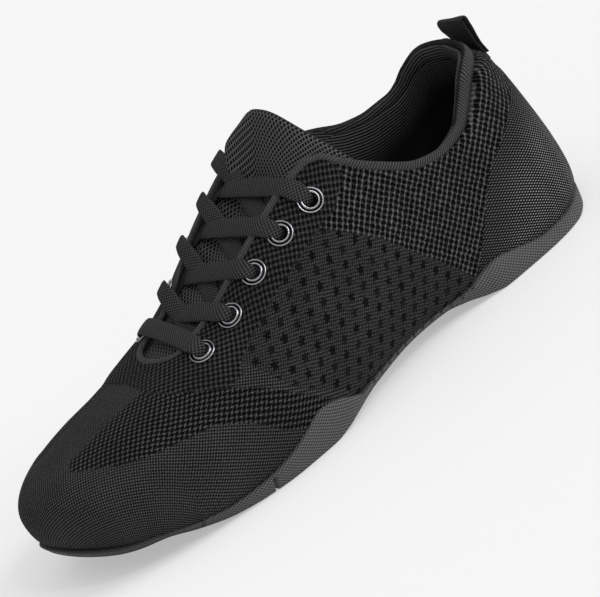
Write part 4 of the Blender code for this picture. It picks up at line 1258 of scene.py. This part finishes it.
def build_tongue():
    """Padded tongue: a front grid under the throat that swells up inside it, a back grid below it by the
    pad's thickness, which thins to the rim like a flattened ellipse."""
    along = np.linspace(0, 1, 96)[:, None]
    across = np.linspace(1, -1, 81)[None]
    tip = TONGUE_TIP - TONGUE_SWEEP * across ** 4
    x = TONGUE_BASE + (tip - TONGUE_BASE) * along
    half = monotone(TONGUE, x)[..., 0] * np.abs(across)
    offset = np.where(across > 0, on_side(x, half, 1), on_side(x, half, -1))
    room = throat_room(x)
    # under the lace the pad lies below a straight line between the throat's edges, then it rises to the free
    # end, earlier on the inner half
    inner = ease(-across, 0.1, 0.5)
    free = ease(-x, -TONGUE_FREE - 8 * inner, -TONGUE_TIP - 12 * inner)
    fall = 1 - 0.75 * ease(-x, 16, 30)
    hump = (1 - across ** 2) * (1 - 0.4 * across) + 0.5 * fall * np.exp(-((across + 0.5) / 0.24) ** 2)
    open_share = np.clip(half / np.maximum(room, 1.0), 0, 1)
    sag = monotone(TONGUE_SAG, x)[..., 0] * (1 - open_share ** 2)
    drop = monotone(TONGUE_SAG, x)[..., 1]
    # between the laces the pad swells, under them it is pressed into shallow channels
    rows = EYELET_FIRST_X + TONGUE_CHANNEL_AHEAD - EYELET_PITCH_X * np.arange(EYELET_ROWS)
    pressed = np.clip(np.exp(-((x[..., None] - rows) / TONGUE_CHANNEL) ** 2).sum(axis=-1), 0, 1)
    crown = ease(room - half, 1.0, 6.0) * (1.6 - 1.4 * pressed)
    within = ease(room - half, -2.0, 3.0)
    lifted = (crown - drop - sag) * (1 - free) + (TONGUE_RISE * hump - TONGUE_DROP) * free
    lifted = lifted * within - TONGUE_DROP * (1 - within)
    # the edge of the pad rounds off over its last few millimetres
    to_end = np.minimum(along, 1 - along) * (TONGUE_BASE - TONGUE_TIP)
    inside = np.minimum((1 - np.abs(across)) * half.max(axis=1, keepdims=True), to_end)
    thick = TONGUE_EDGE + (TONGUE_PAD - TONGUE_EDGE) * quarter_round(inside / TONGUE_THINS)
    edge_fall = 0.9 * (1 - quarter_round(inside / TONGUE_EDGE_ROUND))
    front = instep(x, offset, lifted - edge_fall)
    back = instep(x, offset, lifted - thick + edge_fall)
    columns, rows = x.shape
    total = columns * rows
    number = np.arange(total).reshape(columns, rows)
    border = np.concatenate([number[0], number[1:, -1], number[-1, -2::-1], number[-2::-1, 0]])
    quads = np.concatenate([grid_quads(columns, rows), grid_quads(columns, rows, total)[:, ::-1],
                            strip_quads(border, border + total)])
    # the mesh is laid straight along the middle and draped to both sides
    length = run_length(front[:, rows // 2])[:, None]
    width = run_length(front) - run_length(front)[:, rows // 2:rows // 2 + 1]
    measure = np.stack([length + 0 * x, width, 0 * x], axis=-1).reshape(-1, 3)
    tongue = new_piece("mesh_tongue", np.concatenate([front.reshape(-1, 3), back.reshape(-1, 3)]), quads,
                       (MESH,), {"measure": np.concatenate([measure, measure])})
    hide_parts("tongue")


def build_eyelets():
    """Ring per eyelet: the profile turned about the knit's normal."""
    segments = 56
    turn = np.linspace(0, ROUND, segments, endpoint=False)
    radius, height, black = np.array(EYELET_PROFILE + EYELET_PROFILE[:1]).T
    # the black share is painted shade in the groove, the hole and underneath
    painted_shade = np.tile(black, (segments, 1))
    for row in range(EYELET_ROWS):
        for side, name in ((1, "outer"), (-1, "inner")):
            place = eyelet_place(row, side)
            normal = instep_normal(*place)
            first = unit(np.cross(normal, (0.0, 0.0, 1.0)))
            second = np.cross(normal, first)
            centre = instep(*place) + normal * EYELET_SEAT[side]
            spoke = np.outer(np.cos(turn), first) + np.outer(np.sin(turn), second)
            points = centre + spoke[:, None] * radius[:, None] + normal * height[:, None]
            quads = grid_quads(segments, len(radius), closed=True)
            ring = new_piece(f"eyelet_ring_{name}_{row + 1}", points, quads, (NICKEL,),
                             {"painted_shade": painted_shade})
            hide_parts(f"eyelet_{name}_{row + 1}")


def lace_run(row, side, over):
    """One crossing as points and knit normals: up out of its eyelet, over the near edge of the throat, nearly
    straight to the far edge, tucked under it and on to the next eyelet down."""
    x, start = eyelet_place(row, side)
    slant = (LACE_SLANT_OVER if over else LACE_SLANT_UNDER)[row]
    low_x = x + slant
    far = float(throat_edge(np.array(low_x), -side)) + side * LACE_EDGE_STOP
    near_x = x + slant * (0.3 if over else 0.06)
    near = float(throat_edge(np.array(near_x), side))
    next_x, finish = eyelet_place(row - 1, -side)
    away, lift = np.array(LACE_RISE_OVER if over else LACE_RISE_UNDER).T
    kept = away < 0.85 * abs(start - near)
    away, lift = away[kept], lift[kept]
    share = np.append(away / abs(start - near), 1.0)
    lift = np.append(lift, LACE_EDGE_OVER if over else LACE_EDGE_UNDER[row])
    rise_x = x + (near_x - x) * share
    rise_offset = start + (near - start) * share
    t, sway = np.array(LACE_OVER if over else LACE_UNDER).T
    tail = np.array(LACE_TUCKED_SHARE)
    along = np.concatenate([rise_x, near_x + (low_x - near_x) * t, low_x + (next_x - low_x) * tail])
    offset = np.concatenate([rise_offset, near + (far - near) * t, far + (finish - far) * tail])
    height = np.concatenate([lift, 0 * t, LACE_TUCKED])
    base = instep(along, offset)
    normal = instep_normal(along, offset)
    points = base + normal * height[:, None]
    first = len(share) - 1
    end = len(share) + len(t)
    chord = points[first] + (points[end] - points[first]) * t[:, None]
    points[first + 1:end] = chord + sway[:, None] * unit(normal[first] + normal[end])
    return points, base, normal


def lace_band(points, base, normal, narrow_ends, slim, drawn_in):
    """The lace's flat profile carried through points, its face turned with the knit's normals, drawn narrower
    where it goes down an eyelet."""
    fine = smooth_path(np.hstack([points, 0.01 * base, 0.01 * normal]), 150)
    path = fine[:, :3]
    tangent = unit(np.gradient(path, axis=0))
    # the flat side turns with the knit, kept square to the path
    side = unit(np.cross(fine[:, 6:], np.gradient(fine[:, 3:6], axis=0)))
    side = square_to(side, tangent)
    face = unit(np.cross(tangent, side))
    run = run_length(path)
    from_start = ease(run, 1.5, slim)
    from_end = ease(run[-1] - run, 0.5, 6.0)
    width = LACE_HALF_WIDTH * (1 - drawn_in * (1 - from_start) - narrow_ends * drawn_in * (1 - from_end))
    across, rise = flat_profile(width, LACE_HALF_THICKNESS * (1 + 0.5 * (1 - from_start)))
    # pressed into the eyelet the flat lace cups
    cup = 0.9 * (1 - from_start)[:, None] * (across / LACE_HALF_WIDTH) ** 2
    return swept(path, side, face, across, rise + cup)


def build_lace():
    """One flat lace in its runs: a bar across the lowest eyelets, then two crossings for each row above."""
    outer_x, outer = eyelet_place(0, 1)
    inner_x, inner = eyelet_place(0, -1)
    share, lift = np.array(LACE_BAR).T
    along, offset = outer_x + (inner_x - outer_x) * share, outer + (inner - outer) * share
    base, normal = instep(along, offset), instep_normal(along, offset)
    bar = lace_band(base + normal * lift[:, None], base, normal, 1.0, 8.0, 0.36)
    pieces = [("lace_bar", bar, 1)]
    for row in range(1, EYELET_ROWS):
        for side, over, name in ((1, True, "over"), (-1, False, "under")):
            narrowing = (8.0, 0.36) if over else (17.0, 0.42)
            band = lace_band(*lace_run(row, side, over), 0.0, *narrowing)
            pieces.append((f"lace_{name}_{row + 1}", band, row + 1))
    for name, (points, quads, measure), row in pieces:
        lace = new_piece(name, points, quads, (LACE,), {"measure": measure})
        if name == "lace_bar":
            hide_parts("lace_bar_1")
        elif "over" in name:
            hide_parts(f"lace_cross_{row}")


def build_loop():
    """Webbing sewn up the back of the heel, folded into a tab over the collar: a flat profile carried along
    the tab's side view, turned a little toward the fold."""
    spine = np.array([HEEL_POLE, ridge_y(HEEL_POLE)])
    foot = fan_feet(HEEL_POLE, np.array([math.pi]))[0]
    wall = last_point(foot, spine, np.linspace(0, 1, 400))
    clear = 0.3 + LOOP_HALF_THICKNESS
    layer = 2 * LOOP_HALF_THICKNESS + 0.1
    front = [(np.interp(z, wall[:, 2], wall[:, 0]) - clear, z) for z in LOOP_FRONT_SEWN_Z]
    back = [(np.interp(z, wall[:, 2], wall[:, 0]) - clear - layer, z) for z in LOOP_BACK_SEWN_Z]
    path = smooth_path(front + list(LOOP_FOLD) + back, 130)
    middle = np.column_stack([path[:, 0], np.zeros(len(path)), path[:, 1]])
    turn = math.radians(LOOP_TWIST) * ease(path[:, 1], 68, 82)
    side = np.column_stack([np.sin(turn), np.cos(turn), 0 * turn])
    tangent = unit(np.gradient(middle, axis=0))
    side = square_to(side, tangent)
    normal = unit(np.cross(tangent, side))
    count = len(path)
    across, rise = flat_profile(np.full(count, LOOP_HALF_WIDTH), np.full(count, LOOP_HALF_THICKNESS), 28, 6.0)
    points, quads, measure = swept(middle, side, normal, across, rise)
    loop = new_piece("heel_loop", points, quads, (WEBBING,), {"measure": measure})
    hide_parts("pull_loop")


def build_stage():
    """Floor, lamps and camera."""
    half = 4.0
    mesh = bpy.data.meshes.new("floor")
    mesh.from_pydata([(-half, -half, 0), (half, -half, 0), (half, half, 0), (-half, half, 0)], [],
                     [(0, 1, 2, 3)])
    mesh.materials.append(floor_finish())
    floor = new_object("floor", mesh)

    lamps = (
        # name, direction it comes from, angle it fills in degrees, watts per square metre
        ("overhead softbox", (0.15, 0.3, 1.0), 75, 0.75),
        ("heel side softbox", (-0.85, 0.6, 0.6), 35, 1.4),
        ("small key", (-0.2, 0.9, 1.0), 9, 0.35),
    )
    for name, place, angle, strength in lamps:
        lamp = bpy.data.lights.new(name, "SUN")
        lamp.angle = math.radians(angle)
        lamp.energy = strength
        new_object(name, lamp).rotation_euler = Vector(place).to_track_quat("Z", "Y").to_euler()
    world = bpy.data.worlds.new("pale studio")
    world.use_nodes = True
    sky = world.node_tree.nodes["Background"]
    sky.inputs["Color"].default_value = (1, 1, 1, 1)
    sky.inputs["Strength"].default_value = 0.49
    bpy.context.scene.world = world
    bpy.context.scene.view_settings.view_transform = "Standard"

    azimuth, elevation, roll = (math.radians(a) for a in (CAMERA_AZIMUTH, CAMERA_ELEVATION, CAMERA_ROLL))
    back = Vector((math.sin(azimuth) * math.cos(elevation), math.cos(azimuth) * math.cos(elevation),
                   math.sin(elevation)))
    turn = back.to_track_quat("Z", "Y").to_matrix() @ Matrix.Rotation(roll, 3, "Z")
    lens = bpy.data.cameras.new("view")
    lens.sensor_width = SENSOR
    lens.lens = CAMERA_FOCAL_PIXELS / FRAME_WIDTH * SENSOR
    lens.shift_x = CAMERA_SHIFT_PIXELS[0] / FRAME_WIDTH
    lens.shift_y = CAMERA_SHIFT_PIXELS[1] / FRAME_WIDTH
    camera = new_object("view", lens)
    aim = Vector((CAMERA_AIM + PLACE) * MM)
    camera.matrix_world = Matrix.Translation(aim + back * CAMERA_DISTANCE * MM) @ turn.to_4x4()
    bpy.context.scene.camera = camera


KNIT = knit_finish()
LINING = lining_finish()
ROLL = roll_finish()
MESH = mesh_finish()
RUBBER = rubber_finish()
LACE = lace_finish()
WEBBING = webbing_finish()
NICKEL = eyelet_finish()
INSOLE = insole_finish()

build_stage()
rim_outer, lining_down = build_upper()
build_collar(rim_outer, lining_down)
build_sole()
build_insole()
build_tongue()
build_eyelets()
build_lace()
build_loop()
